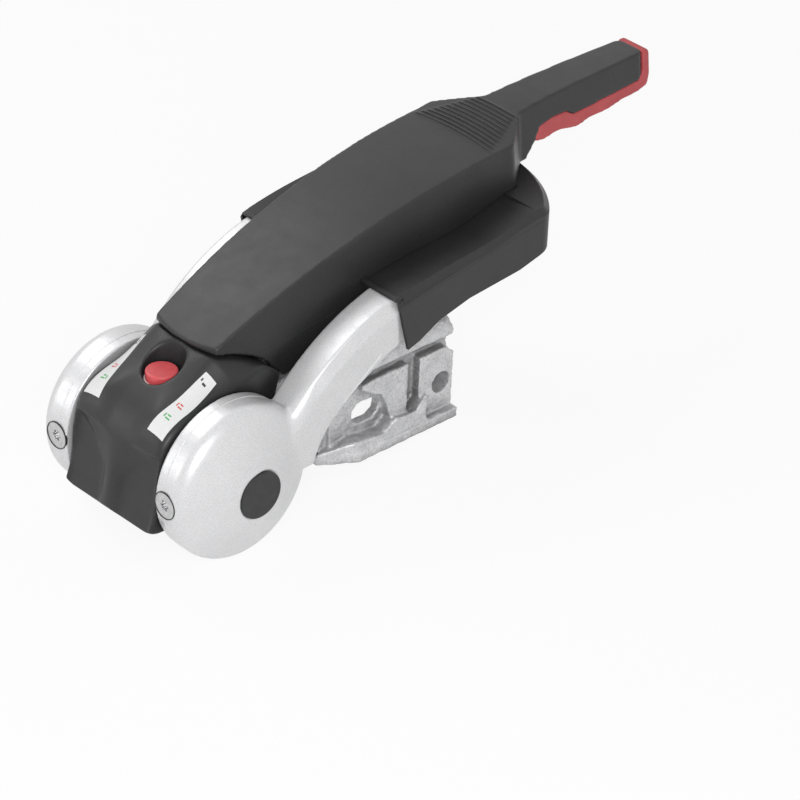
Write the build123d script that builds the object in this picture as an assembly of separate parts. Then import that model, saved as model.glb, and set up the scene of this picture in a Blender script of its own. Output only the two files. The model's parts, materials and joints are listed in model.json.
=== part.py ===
from build123d import *
import os
from math import cos, radians, sin, tan

# Stabiliser coupling head for a trailer drawbar, in millimetres.
# +X points the way the trailer travels, +Y to its left and +Z up.
# The origin is the centre of the coupling ball, which is also the lever's axis.

# Clearances
RUN_FIT = 0.05  # radial play where one piece turns or slides in another
SEAT_FIT = 0.05  # radial play of a piece held fast in its seat
FREE_GAP = 0.4  # air between pieces that pass each other
FACE_GAP = 1.0  # air between the soft dock's cheeks and the round arm heads

# Ball socket
BALL_R = 25.0
BALL_GAP = 0.4
CUP_WALL = 7.5
CUP_DROP = 24.0  # lower rim of the cup, below the ball centre
PAD_T = 3.5  # lining on the front and rear friction pads
PAD_HALF_W = 9.0
PAD_HALF_H = 9.0

# Side tubes and pads
TUBE_R = 33.0
TUBE_END_Y = 55.5
TUBE_COLLAR_H = 2.0
TUBE_COLLAR_W = 2.5
SIDE_PAD_R = 13.0
SIDE_PAD_GAP = 0.2
HOLDER_R = 22.0
HOLDER_IN_Y = 30.0
HOLDER_LEN = 21.0
HOLDER_FLOOR = 8.0  # solid end of the holder, behind the pad
PAD_TRAVEL = 4.0
BUSH_T = 2.5
BUSH_W = 7.0

# Round arm heads
DISC_R = 45.4
DISC_IN_Y = 36.5
DISC_FACE_Y = 69.3
DISC_WALL_Y = 58.5  # inside of the outer wall
DISC_ROUND_Y = 49.5  # where the rim's round begins
DISC_DOME_DROP_R = 4.5  # where the round meets the dome, inwards from the rim
DISC_DOME_Y = 57.3
DISC_CORNER_GAP = 0.4  # from the tube's end to the slanted corner inside
DISC_CORNER_W = 4.0
DISC_DOME_RISE = 0.9  # how far the dome bulges from a straight cone
DISC_EDGE_DROP = 0.4  # how far the rim draws in at its inner edge
CAP_R = 13.7
CAP_T = 2.8
THRUST_R = 9.0
THRUST_FLANGE_R = 16.0
THRUST_FLANGE_T = 2.2
RIM_SCREW_Y = 44.2
RIM_SCREW_HEAD_R = 7.6
RIM_SCREW_HEAD_T = 4.0
RIM_SCREW_R = 3.5
LOBE_CORE_R = 2.3
LOBE_RING_R = 2.5
LOBE_TIP_R = 0.75
LOBE_DEPTH = 2.2

# Arms
ARM_IN_Y = 40.0
ARM_OUT_Y = 62.0
ARM_BEVEL_Y = 4.0
ARM_BEVEL_Z = 6.5
ARM_END_X = -192.0

# Lever covers
COVER_WALL = 3.0
YOKE_OUT_Y = 64.0
YOKE_WALL = 1.8
YOKE_FRONT_X = -100.3
YOKE_CORNER_X = -212.0
YOKE_CORNER_R = 9.0
YOKE_REAR_X = -241.0
YOKE_BEVEL = 3.4
YOKE_LIP = 2.8  # plain collar in front of the dished ledge
LEDGE_IN_Y = 33.0
LEDGE_DROP = 1.8
DECK_FRONT_X = -205.0
DECK_Z = 93.4
DECK_T = 4.0
POCKET_REAR_X = -216.0

# Handle
PANEL_FRONT_X = -7.2
PANEL_TOP_FRONT_X = -2.0
PANEL_LIP = 1.7  # panel's front end above its hinge edge
PANEL_MID_X = -108.7
PANEL_MID_Z = 104.6
PANEL_REAR_Z = 119.4
PANEL_BOW = 4.2
PANEL_FRONT_W = 24.4
PANEL_REAR_X = -205.0
PANEL_REAR_W = 39.4
PANEL_SWELL = 3.6
CROWN_R = 430.0  # radius of the panel's top across its width
SIDE_DRAFT = 0.125  # how much the handle widens for each mm down
DRAFT_Z = 64.0  # height at which the plan widths are given
HINGE_GAP = 1.2  # between the handle's front edge and the dock, both arcs about the lever axis
HINGE_LOW_ANGLE = 136.0
PANEL_EDGE_ANGLE = 91.9
NECK_MID_X = -224.0
NECK_MID_Z = 121.7
NECK_REAR_X = -246.0
NECK_REAR_Z = 123.8
GRIP_W = 20.3
GRIP_END_W = 17.7
GRIP_START_X = -250.0
GRIP_END_X = -339.0
GRIP_TOP_Z = 126.1
INSERT_T = 7.0  # soft end cap behind the grip

# Thumb ribs at the panel's rear
RIB_COUNT = 11
RIB_PITCH = 3.31
RIB_W = 1.1
RIB_H = 0.5
RIB_FIRST_X = -198.8
RIB_FIRST_HALF_W = 29.7
RIB_LAST_HALF_W = 15.1
RIB_BOW_R = 330.0

# Working sizes of cutting bodies
HANDLE_SPARE = 4.0
HANDLE_SLAB = 80.0

# Cross bar that ties the arms
BAR_X = -181.0
BAR_Z = 73.0
BAR_R = 7.0
BAR_BOLT_R = 4.0
BAR_BOLT_HEAD_R = 6.5
BAR_BOLT_HEAD_T = 4.2
BAR_BOLT_GRIP = 17.0  # thread in the bar's end
COVER_SCREW_X = -226.0
COVER_SCREW_Y = 9.0
COVER_SCREW_R = 2.5
COVER_SCREW_HEAD_R = 4.8
COVER_SCREW_HEAD_T = 2.8
COVER_SCREW_LEN = 16.0

# Soft dock
DOCK_WALL = 4.0
DOCK_HINGE_R = 60.4
DOCK_NOSE_REACH = 15.4  # nose ahead of the side tubes
DOCK_FRONT_LEAN = 10.07  # the front leans out on its way down, degrees
DOCK_TOE = 3.0  # chamfer under the nose
DOCK_FLOOR_Z = -24.5
DOCK_CROWN = 2.6
DOCK_CREST_ANGLE = 94.4
DOCK_TOP_SLOPE = 33.56  # degrees
DOCK_ROUND_R = 34.0  # between the top and the front
DOCK_TOP_RISE = 1.0
DOCK_BROW_R = 22.0
DOCK_EDGE_R = 4.0
SCOOP_DEPTH = 3.0
SCOOP_W = 29.0  # from the cheek towards the centre
SCOOP_H = 17.0
SCOOP_Z = -8.0
SCOOP_LEAN = 10.0
RECESS_X = 9.5
RECESS_FLOOR_Z = 41.5
RECESS_R = 9.6
RECESS_TOP_R = 14.0
RECESS_TOP_Z = 63.0
DOCK_SCREW_REACH = 4.0  # ahead of the side tubes
DOCK_SCREW_Y = 18.0
DOCK_SCREW_R = 3.0
DOCK_SCREW_HEAD_R = 5.5
DOCK_SCREW_HEAD_T = 3.0
DOCK_SCREW_LEN = 13.0

# Indicator
INDICATOR_CAP_R = 8.9
INDICATOR_CAP_TOP_Z = 48.4
INDICATOR_CAP_T = 6.0
INDICATOR_PIN_R = 4.0
INDICATOR_PIN_LOW_Z = 27.5
INDICATOR_COLLAR_R = 6.6
INDICATOR_COLLAR_Z = 31.3
INDICATOR_COLLAR_T = 1.5
SPOT_FACE_Z = 31.0
SPOT_FACE_R = 8.0
RECESS_FLOOR_T = 3.4
SPRING_WIRE_R = 0.5
SPRING_TURNS = 3

# Neck, jaw and coupling handle
CHEEK_IN_Y = 21.5
CHEEK_T = 6.5
JAW_X = -41.0
JAW_Z = 13.0
JAW_BOSS_R = 8.5
JAW_HALF_W = 16.0
HINGE_PIN_R = 5.0
HANDLE_X = -62.0
HANDLE_Z = 22.0
LATCH_HALF_W = 14.0
LATCH_END_X = -158.0
LATCH_SHEET = 3.0
LATCH_SPRING_TURNS = 6
LATCH_SPRING_WIRE_R = 1.0

# Drawbar clamp
DRAWBAR_R = 25.2
DRAWBAR_Z = -11.0
CLAMP_FRONT_X = -92.0
CLAMP_WALL_Y = 31.0
CLAMP_PAD_Y = 37.0
CLAMP_TOP_Z = 27.0
CLAMP_CORNER_R = 9.0
FLANGE_BOTTOM_Z = -34.0
FLANGE_T = 6.0
FLANGE_Y = 42.5
FLANGE_TAPER_X = -97.0
FLANGE_NOSE_X = -76.0
FLANGE_NOSE_Y = 29.6
WEB_Y = 40.5
PAD_TOP_Z = 11.0
GROOVE_BACK = 26.5  # front of the groove, behind the slot's centre
GROOVE_W = 8.5
GROOVE_Z = -19.5
FOOT_STEP = 3.5
BOLT_HOLE_R = 6.5
SLOT_BACK = 18.5  # slot's centre, behind the clamp's front
BOLT_SPACING = 52.0
BOLT_REAR_EDGE = 8.5
BOLT_SLOT_LEN = 20.0
SHOULDER_Y = 36.5  # upper corner of the clamp
SHOULDER_Z = 17.0

SOCKET_R = BALL_R + BALL_GAP
CUP_R = SOCKET_R + CUP_WALL
TUBE_COLLAR_R = TUBE_R + TUBE_COLLAR_H
DISC_BORE_R = TUBE_R + BUSH_T + RUN_FIT
CHEEK_OUT_Y = CHEEK_IN_Y + CHEEK_T
DOCK_HALF_W = DISC_IN_Y - FACE_GAP
DOCK_NOSE_X = TUBE_R + DOCK_NOSE_REACH
DOCK_FOOT_Z = DOCK_FLOOR_Z + DOCK_TOE
DOCK_CREST_X = DOCK_HINGE_R * cos(radians(DOCK_CREST_ANGLE))
DOCK_CREST_Z = DOCK_HINGE_R * sin(radians(DOCK_CREST_ANGLE))
TOP_FALL = tan(radians(DOCK_TOP_SLOPE))
FRONT_RUN = tan(radians(DOCK_FRONT_LEAN))
DOCK_CORNER_Z = DOCK_CREST_Z - TOP_FALL * (DOCK_NOSE_X + FRONT_RUN * DOCK_FOOT_Z - DOCK_CREST_X)
DOCK_CORNER_Z /= 1 - TOP_FALL * FRONT_RUN
DOCK_CORNER_X = DOCK_NOSE_X - FRONT_RUN * (DOCK_CORNER_Z - DOCK_FOOT_Z)
DOCK_ROUND_T = DOCK_ROUND_R * tan(radians(90.0 - DOCK_FRONT_LEAN - DOCK_TOP_SLOPE) / 2)
DOCK_BROW_X = DOCK_CORNER_X - DOCK_ROUND_T * cos(radians(DOCK_TOP_SLOPE))
DOCK_BROW_Z = DOCK_CORNER_Z + DOCK_ROUND_T * sin(radians(DOCK_TOP_SLOPE))
DOCK_FRONT_X = DOCK_CORNER_X + DOCK_ROUND_T * sin(radians(DOCK_FRONT_LEAN))
DOCK_FRONT_Z = DOCK_CORNER_Z - DOCK_ROUND_T * cos(radians(DOCK_FRONT_LEAN))
DOCK_SCREW_X = TUBE_R + DOCK_SCREW_REACH
HINGE_EDGE_R = DOCK_HINGE_R + HINGE_GAP
PANEL_TOP_FRONT_Z = HINGE_EDGE_R + PANEL_LIP
PANEL_TOP_REAR_X = PANEL_REAR_X + 2.0
INSERT_END_X = GRIP_END_X - INSERT_T
SLOT_X = CLAMP_FRONT_X - SLOT_BACK
BOLT_REAR_X = SLOT_X - BOLT_SPACING
CLAMP_REAR_X = BOLT_REAR_X - BOLT_REAR_EDGE
GROOVE_FRONT_X = SLOT_X - GROOVE_BACK
GROOVE_REAR_X = GROOVE_FRONT_X - GROOVE_W
FOOT_FRONT_X = GROOVE_REAR_X - FOOT_STEP


def side_slab(face, y_low, y_high):
    """Push a side-view face, drawn in X and Z, from y_low to y_high."""
    return extrude(Plane.XZ.offset(-y_high) * face, y_high - y_low)


def end_slab(face, x_low, x_high):
    """Push a section, drawn in Y and Z, from x_low to x_high."""
    return extrude(Plane.YZ.offset(x_low) * face, x_high - x_low)


def plan_slab(face, z_low, z_high):
    """Push a plan face, drawn in X and Y, from z_low to z_high."""
    return extrude(Plane.XY.offset(z_low) * face, z_high - z_low)


def rod_y(x, z, radius, y_low, y_high):
    """Round bar along Y."""
    return Pos(x, (y_low + y_high) / 2, z) * Rot(90, 0, 0) * Cylinder(radius, y_high - y_low)


def rod_z(x, y, radius, z_low, z_high):
    """Round bar along Z."""
    return Pos(x, y, (z_low + z_high) / 2) * Cylinder(radius, z_high - z_low)


def rod_x(y, z, radius, x_low, x_high):
    """Round bar along X."""
    return Pos((x_low + x_high) / 2, y, z) * Rot(0, 90, 0) * Cylinder(radius, x_high - x_low)


def block(x_low, x_high, y_low, y_high, z_low, z_high):
    """Plain box between two corners."""
    size = Box(x_high - x_low, y_high - y_low, z_high - z_low)
    return Pos((x_low + x_high) / 2, (y_low + y_high) / 2, (z_low + z_high) / 2) * size


def both_sides(part):
    """The part and its mirror image across the centre plane."""
    return part + mirror(part, about=Plane.XZ)


def right_hand(part):
    """Mirror image of a left-hand piece."""
    return mirror(part, about=Plane.XZ)


def polygon(*points):
    """Face inside straight lines through the points."""
    return make_face(Polyline(*points, close=True))


def on_circle(radius, angle):
    """Point on a circle about the lever axis, in the side view."""
    return (radius * cos(radians(angle)), radius * sin(radians(angle)))


def coil(turns, pitch, radius, wire_r, centre, direction):
    """Round-wire coil that starts at centre and runs along direction."""
    path = Helix(pitch, turns * pitch, radius, center=centre, direction=direction)
    section = Plane(origin=path @ 0, z_dir=path % 0) * Circle(wire_r)
    return sweep(section, path=path)


def arm_head():
    """Round head of an arm, turned about the lever axis."""
    start = (DISC_BORE_R, DISC_IN_Y)
    edge = (DISC_R - DISC_EDGE_DROP, DISC_IN_Y)
    rim = (DISC_R, DISC_ROUND_Y)
    dome = (DISC_R - DISC_DOME_DROP_R, DISC_DOME_Y)
    hub = (CAP_R + SEAT_FIT, DISC_FACE_Y)
    swell = Vector(hub[1] - dome[1], dome[0] - hub[0]).normalized() * DISC_DOME_RISE
    middle = ((dome[0] + hub[0]) / 2 + swell.X, (dome[1] + hub[1]) / 2 + swell.Y)
    seat_y = DISC_FACE_Y - CAP_T
    hole = THRUST_R + SEAT_FIT
    corner = (DISC_BORE_R, TUBE_END_Y + DISC_CORNER_GAP)
    outline = [
        Line(start, edge),
        Line(edge, rim),
        TangentArc(rim, dome, tangent=(0, 1)),
        ThreePointArc(dome, middle, hub),
        Polyline(hub, (hub[0], seat_y), (hole, seat_y), (hole, DISC_WALL_Y)),
        Polyline((hole, DISC_WALL_Y), (DISC_BORE_R - DISC_CORNER_W, DISC_WALL_Y), corner, start),
    ]
    return revolve(make_face(outline), Axis.Y)


def arm_beam():
    """Curved beam from the round head back into the yoke cover."""
    head_top = (-30.0, 29.5)
    yoke_top = (-100.0, 74.8)
    end_top = (ARM_END_X, 83.5)
    end_low = (ARM_END_X, 67.0)
    yoke_low = (-131.0, 57.5)
    bend = (-70.0, 30.5)
    head_low = (-45.0, -4.0)
    outline = [
        ThreePointArc(head_top, (-62.5, 58.4), yoke_top),
        ThreePointArc(yoke_top, (-146.0, 81.0), end_top),
        Polyline(end_top, end_low, yoke_low, (-95.0, 44.7), bend),
        ThreePointArc(bend, (-56.0, 16.6), head_low),
        Polyline(head_low, (-15.0, -4.0), (-15.0, 10.0), head_top),
    ]
    beam = side_slab(make_face(outline), ARM_IN_Y, ARM_OUT_Y)
    outer = beam.edges().filter_by_position(Axis.Y, ARM_OUT_Y - 0.01, ARM_OUT_Y + 0.01)
    top = outer.sort_by(lambda edge: -(edge @ 0.5).Z)[0:2]
    side = beam.faces().sort_by(Axis.Y)[-1]
    return chamfer(top, ARM_BEVEL_Z, ARM_BEVEL_Y, reference=side)


def arm():
    """Left arm: round head and beam in one casting."""
    casting = arm_head() + (arm_beam() - rod_y(0, 0, DISC_BORE_R, 0, DISC_WALL_Y))
    head_y = ARM_OUT_Y - BAR_BOLT_HEAD_T
    casting -= Pos(0, 0, -YOKE_WALL - FREE_GAP) * ledge_dish()
    casting -= rod_y(BAR_X, BAR_Z, BAR_BOLT_R + SEAT_FIT, ARM_IN_Y - 1, ARM_OUT_Y + 1)
    casting -= rod_y(BAR_X, BAR_Z, BAR_BOLT_HEAD_R + FREE_GAP, head_y, ARM_OUT_Y + 1)
    return casting - rim_screw(SEAT_FIT)


def rim_screw(grow=0.0):
    """Countersunk screw in the rim, whose tip runs behind the tube's collar."""
    tip = TUBE_R + FREE_GAP
    top = DISC_R - 0.4
    head = Rot(0, 90, 0) * Cone(RIM_SCREW_R + grow, RIM_SCREW_HEAD_R + grow, RIM_SCREW_HEAD_T)
    shank = rod_x(RIM_SCREW_Y, 0, RIM_SCREW_R + grow, tip, top - RIM_SCREW_HEAD_T / 2)
    mouth = rod_x(RIM_SCREW_Y, 0, RIM_SCREW_HEAD_R + grow, top - 0.01, top + 30.0 * grow + 0.02)
    return Pos(top - RIM_SCREW_HEAD_T / 2, RIM_SCREW_Y, 0) * head + shank + mouth


def lobed_rim_screw():
    """The rim screw with its six-lobe driver recess."""
    lobes = Circle(LOBE_CORE_R) + PolarLocations(LOBE_RING_R, 6) * Circle(LOBE_TIP_R)
    drive = end_slab(Pos(RIM_SCREW_Y, 0) * lobes, DISC_R - LOBE_DEPTH, DISC_R + 1.0)
    return rim_screw() - drive


def centre_cap():
    """Black cap over the thrust screw."""
    low = DISC_FACE_Y - CAP_T
    cap = rod_y(0, 0, CAP_R, low, DISC_FACE_Y + 0.4)
    return fillet(cap.edges().sort_by(Axis.Y)[-1], 0.6)


def thrust_screw():
    """Coarse screw in the round head that drives the pad holder."""
    flange = rod_y(0, 0, THRUST_FLANGE_R, DISC_WALL_Y - THRUST_FLANGE_T, DISC_WALL_Y)
    tip_y = HOLDER_IN_Y + HOLDER_FLOOR + PAD_TRAVEL + FACE_GAP
    return flange + rod_y(0, 0, THRUST_R, tip_y, DISC_FACE_Y - CAP_T)


def pad_holder():
    """Plug that slides in the side tube and carries a side pad."""
    plug = rod_y(0, 0, HOLDER_R, HOLDER_IN_Y, HOLDER_IN_Y + HOLDER_LEN)
    floor_y = HOLDER_IN_Y + HOLDER_FLOOR
    return plug - rod_y(0, 0, THRUST_R + FREE_GAP, floor_y, HOLDER_IN_Y + HOLDER_LEN + 1)


def side_pad():
    """Friction lining with a hollow face that fits the ball."""
    return rod_y(0, 0, SIDE_PAD_R, BALL_R / 2, HOLDER_IN_Y) - Sphere(BALL_R + SIDE_PAD_GAP)


def disc_bush():
    """Plain bearing ring on the side tube, inside the round head."""
    ring = rod_y(0, 0, TUBE_R + BUSH_T, TUBE_END_Y - BUSH_W, TUBE_END_Y)
    return ring - rod_y(0, 0, TUBE_R + SEAT_FIT, 0, DISC_FACE_Y)


def handle_plan(extra, end_x, end_w):
    """Plan outline of the handle, with every half-width changed by extra."""
    front = (PANEL_FRONT_X, PANEL_FRONT_W + extra)
    rear = (PANEL_REAR_X, PANEL_REAR_W + extra)
    mid_x = (PANEL_FRONT_X + PANEL_REAR_X) / 2
    mid_w = (PANEL_FRONT_W + PANEL_REAR_W) / 2 + PANEL_SWELL + extra
    neck = (PANEL_REAR_X - 8.5, PANEL_REAR_W + 0.6 + extra)
    throat = (GRIP_START_X + 14.0, GRIP_W + 0.7 + extra)
    grip = (GRIP_START_X, GRIP_W + extra)
    end = (end_x, end_w + extra)
    half = [
        ThreePointArc(front, (mid_x, mid_w), rear),
        FilletPolyline(rear, neck, throat, grip, radius=7.0),
        FilletPolyline(grip, end, (end_x, 0), radius=4.0),
    ]
    nose = ThreePointArc(
        front, (PANEL_FRONT_X + PANEL_BOW, 0), (front[0], -front[1])
    )
    other = [edge.mirror(Plane.XZ) for edge in half]
    return make_face(half + other + [nose])


def handle_form(inset, end_x=GRIP_END_X, end_w=GRIP_END_W):
    """Drafted body inside the handle's plan outline, inset all round."""
    levels = [20.0, 140.0]
    faces = []
    for z in levels:
        face = handle_plan((DRAFT_Z - z) * SIDE_DRAFT - inset, end_x, end_w)
        faces.append(Plane.XY.offset(z) * face)
    return loft(faces, ruled=True)


def handle_top(drop):
    """Side-view line along the top of the handle, front to rear, lowered by drop."""
    front = (PANEL_TOP_FRONT_X, PANEL_TOP_FRONT_Z - drop)
    rear = (PANEL_TOP_REAR_X, PANEL_REAR_Z - drop)
    end = (GRIP_END_X, GRIP_TOP_Z - drop)
    panel = ThreePointArc(front, (PANEL_MID_X, PANEL_MID_Z - drop), rear)
    neck = Spline(
        rear,
        (NECK_MID_X, NECK_MID_Z - drop),
        (NECK_REAR_X, NECK_REAR_Z - drop),
        end,
        tangents=(panel % 1, (-1.0, 0.02)),
    )
    return [panel, neck]


def crowned(drop):
    """Body under the handle's top line, turned about a low axis along X so that its top is crowned."""
    line = handle_top(drop)
    low = PANEL_REAR_Z - CROWN_R
    rest = Polyline(line[1] @ 1, (GRIP_END_X, low), (PANEL_TOP_FRONT_X, low), line[0] @ 0)
    return revolve(Plane.XZ * make_face(line + [rest]), Axis((0, 0, low), (1, 0, 0)))


def thumb_ribs():
    """Thin arcs across the panel's rear, shorter towards the neck."""
    top = crowned(-RIB_H)
    ribs = []
    for index in range(RIB_COUNT):
        share = index / (RIB_COUNT - 1)
        half = RIB_FIRST_HALF_W + share * (RIB_LAST_HALF_W - RIB_FIRST_HALF_W)
        sag = half * half / (2 * RIB_BOW_R)
        x = RIB_FIRST_X - index * RIB_PITCH - sag
        ring = Circle(RIB_BOW_R + RIB_W / 2) - Circle(RIB_BOW_R - RIB_W / 2)
        arc = Pos(x + RIB_BOW_R, 0) * ring & Pos(x, 0) * Rectangle(4 * RIB_PITCH, 2 * half)
        ribs.append(top & plan_slab(arc, PANEL_REAR_Z - COVER_WALL, GRIP_TOP_Z + HANDLE_SPARE))
    return ribs


INSERT_LINE = [
    (GRIP_END_X, GRIP_TOP_Z - 13.1),
    (GRIP_END_X + 4.0, GRIP_TOP_Z - 16.7),
    (GRIP_START_X - 31.0, GRIP_TOP_Z - 19.1),
    (GRIP_START_X - 25.0, GRIP_TOP_Z - 15.5),
    (GRIP_START_X - 12.0, GRIP_TOP_Z - 15.3),
    (GRIP_START_X - 3.0, GRIP_TOP_Z - 17.5),
    (GRIP_START_X + 1.2, GRIP_TOP_Z - 24.6),
]


def handle_shell():
    """Handle moulding: front panel, base, neck and the upper half of the grip."""
    low_front = on_circle(HINGE_EDGE_R, HINGE_LOW_ANGLE)
    high_front = on_circle(HINGE_EDGE_R, PANEL_EDGE_ANGLE)
    middle = on_circle(HINGE_EDGE_R, (HINGE_LOW_ANGLE + PANEL_EDGE_ANGLE) / 2)
    edge = ThreePointArc(low_front, middle, high_front)
    base = [
        INSERT_LINE[-1],
        (GRIP_START_X + 9.0, DECK_Z),
        (POCKET_REAR_X + FREE_GAP, DECK_Z),
        (POCKET_REAR_X + FREE_GAP, DECK_Z - 8.4),
        (-150.0, DECK_Z - 15.9),
        (-100.0, 65.0),
        (-84.0, 58.0),
        (-58.0, 44.0),
        low_front,
    ]
    top = handle_top(-HANDLE_SPARE)
    outline = top + [
        Polyline(top[1] @ 1, *INSERT_LINE),
        Polyline(*base),
        edge,
        Line(high_front, top[0] @ 0),
    ]
    solid = handle_form(0.0) & side_slab(make_face(outline), -HANDLE_SLAB, HANDLE_SLAB) & crowned(0.0)
    inner_front = PANEL_FRONT_X - COVER_WALL / 2
    inner_rear = POCKET_REAR_X + 8.0
    room = block(inner_rear, inner_front, -HANDLE_SLAB, HANDLE_SLAB, 0.0, GRIP_TOP_Z)
    hollow = handle_form(COVER_WALL) & room & crowned(COVER_WALL)
    return solid + thumb_ribs() - hollow - both_sides(cover_screw(SEAT_FIT))


def grip_insert():
    """Soft red insert under the grip and round its end."""
    tip = INSERT_LINE[-1]
    under = [
        (GRIP_START_X - 8.0, GRIP_TOP_Z - 25.9),
        (GRIP_START_X - 18.0, GRIP_TOP_Z - 24.9),
        (GRIP_START_X - 33.0, GRIP_TOP_Z - 27.2),
        (GRIP_START_X - 46.0, GRIP_TOP_Z - 25.5),
        (GRIP_START_X - 56.0, GRIP_TOP_Z - 25.9),
        (GRIP_START_X - 70.0, GRIP_TOP_Z - 23.9),
        (GRIP_START_X - 80.0, GRIP_TOP_Z - 23.5),
        (INSERT_END_X + 4.5, GRIP_TOP_Z - 21.5),
    ]
    cap_top = (INSERT_END_X, GRIP_TOP_Z - 3.6)
    outline = [
        Polyline((GRIP_END_X, GRIP_TOP_Z - 0.2), *INSERT_LINE),
        Spline(tip, *under),
        Polyline(under[-1], (INSERT_END_X, GRIP_TOP_Z - 13.6), cap_top),
        Polyline(cap_top, (INSERT_END_X + 3.0, GRIP_TOP_Z - 0.1), (GRIP_END_X, GRIP_TOP_Z - 0.2)),
    ]
    return handle_form(0.4, INSERT_END_X, GRIP_END_W) & side_slab(make_face(outline), -40, 40)


def yoke_top(drop):
    """Side-view line along the yoke cover's rising top, lowered by drop."""
    points = [
        (YOKE_FRONT_X, 76.7 - drop),
        (-140.5, 83.2 - drop),
        (-178.5, 87.8 - drop),
        (DECK_FRONT_X, DECK_Z - drop),
    ]
    return Spline(*points, tangents=((-1.0, 0.24), (-1.0, 0.1)))


def yoke_plan(inset):
    """Plan outline of the yoke cover, inset from its outside."""
    out_y = YOKE_OUT_Y - inset
    front_x = YOKE_FRONT_X + 10.0
    corner = (YOKE_CORNER_X, out_y)
    bow = ThreePointArc(corner, (YOKE_REAR_X + inset, 0.0), (corner[0], -corner[1]))
    rest = Polyline((corner[0], -out_y), (front_x, -out_y), (front_x, out_y), corner)
    face = make_face([bow, rest])
    corners = face.vertices().filter_by(lambda v: abs(v.X - YOKE_CORNER_X) < 0.01)
    return fillet(corners, YOKE_CORNER_R)


def yoke_rim(form):
    """Outer edges of the yoke cover's top."""
    rim = []
    for edge in form.edges():
        middle = edge @ 0.5
        on_side = abs(abs(middle.Y) - YOKE_OUT_Y) < 0.01 and abs((edge @ 0).X - (edge @ 1).X) > 1.0
        on_back = middle.X < DECK_FRONT_X - 1.0 and abs((edge @ 0).Z - (edge @ 1).Z) < 0.01
        if middle.Z > DECK_Z - 14.0 and (on_side or on_back):
            rim.append(edge)
    return rim


def ledge_dish():
    """Wedge over the yoke cover's ledge, which falls from its ridge to the handle's seam."""
    faces = []
    for y, drop in ((YOKE_OUT_Y - YOKE_BEVEL, 0.0), (LEDGE_IN_Y, LEDGE_DROP)):
        line = yoke_top(drop)
        rest = Polyline(line @ 1, (DECK_FRONT_X, DECK_Z + 5.0), (YOKE_FRONT_X, DECK_Z + 5.0), line @ 0)
        faces.append(Plane.XZ.offset(-y) * make_face([line, rest]))
    reach = block(DECK_FRONT_X, YOKE_FRONT_X - YOKE_LIP, 0, YOKE_OUT_Y, 0, DECK_Z + 5.0)
    return loft(faces, ruled=True) & reach


def yoke_cover():
    """U-shaped cover over the arms' rear ends, with a deck under the neck."""
    top = yoke_top(0)
    low = [
        (YOKE_REAR_X - 1.0, DECK_Z),
        (YOKE_REAR_X - 1.0, 78.0),
        (-207.0, 66.0),
        (-191.7, 62.3),
        (-153.9, 59.0),
        (-131.7, 53.8),
        (-117.3, 46.4),
        (-109.0, 43.8),
        top @ 0,
    ]
    side = make_face([top, Polyline(top @ 1, *low)])
    form = plan_slab(yoke_plan(0.0), 30, 110) & side_slab(side, -80, 80)
    form = chamfer(yoke_rim(form), YOKE_BEVEL) - both_sides(ledge_dish())
    roof = yoke_top(YOKE_WALL)
    deck = DECK_Z - DECK_T
    room = [roof, Polyline(roof @ 1, (DECK_FRONT_X, deck), (YOKE_REAR_X, deck), (YOKE_REAR_X, 20.0),
                           (YOKE_FRONT_X + 5.0, 20.0), (YOKE_FRONT_X + 5.0, (roof @ 0).Y), roof @ 0)]
    hollow = plan_slab(yoke_plan(YOKE_WALL), 20, 110) & side_slab(make_face(room), -80, 80)
    hollow -= both_sides(Pos(0, 0, -YOKE_WALL) * ledge_dish())
    lining = ARM_IN_Y - SEAT_FIT
    hollow -= block(POCKET_REAR_X - YOKE_WALL, YOKE_FRONT_X + 20, -lining, lining, 10, 110)
    pocket = handle_form(-FREE_GAP) & block(POCKET_REAR_X, YOKE_FRONT_X + 20, -80, 80, 20, 110)
    cover = form - hollow - pocket
    cover -= rod_y(BAR_X, BAR_Z, BAR_R + FREE_GAP, -lining - 1, lining + 1)
    return cover - both_sides(cover_screw(SEAT_FIT))


def cover_screw(grow=0.0):
    """Screw from below through the deck into the handle's neck."""
    seat = DECK_Z - DECK_T
    top = seat + COVER_SCREW_LEN
    shank = rod_z(COVER_SCREW_X, COVER_SCREW_Y, COVER_SCREW_R + grow, seat - grow, top)
    head = rod_z(COVER_SCREW_X, COVER_SCREW_Y, COVER_SCREW_HEAD_R, seat - COVER_SCREW_HEAD_T, seat)
    return shank + head


def cross_bar():
    """Round bar that ties the two arms inside the yoke cover."""
    bar = rod_y(BAR_X, BAR_Z, BAR_R, -ARM_IN_Y, ARM_IN_Y)
    hole = rod_y(BAR_X, BAR_Z, BAR_BOLT_R + SEAT_FIT, ARM_IN_Y - BAR_BOLT_GRIP - 2.0, ARM_IN_Y + 1)
    return bar - both_sides(hole)


def arm_bolt():
    """Bolt through an arm into the cross bar's end."""
    head_y = ARM_OUT_Y - BAR_BOLT_HEAD_T
    head = rod_y(BAR_X, BAR_Z, BAR_BOLT_HEAD_R, head_y, ARM_OUT_Y - 0.2)
    return head + rod_y(BAR_X, BAR_Z, BAR_BOLT_R, ARM_IN_Y - BAR_BOLT_GRIP, head_y)


def front_pad(grow=0.0):
    """Friction lining let into the front of the cup."""
    shell = Sphere(SOCKET_R + PAD_T + grow) - Sphere(SOCKET_R)
    width = PAD_HALF_W + grow
    height = PAD_HALF_H + grow
    return shell & block(0, CUP_R, -width, width, -height, height)


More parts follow.
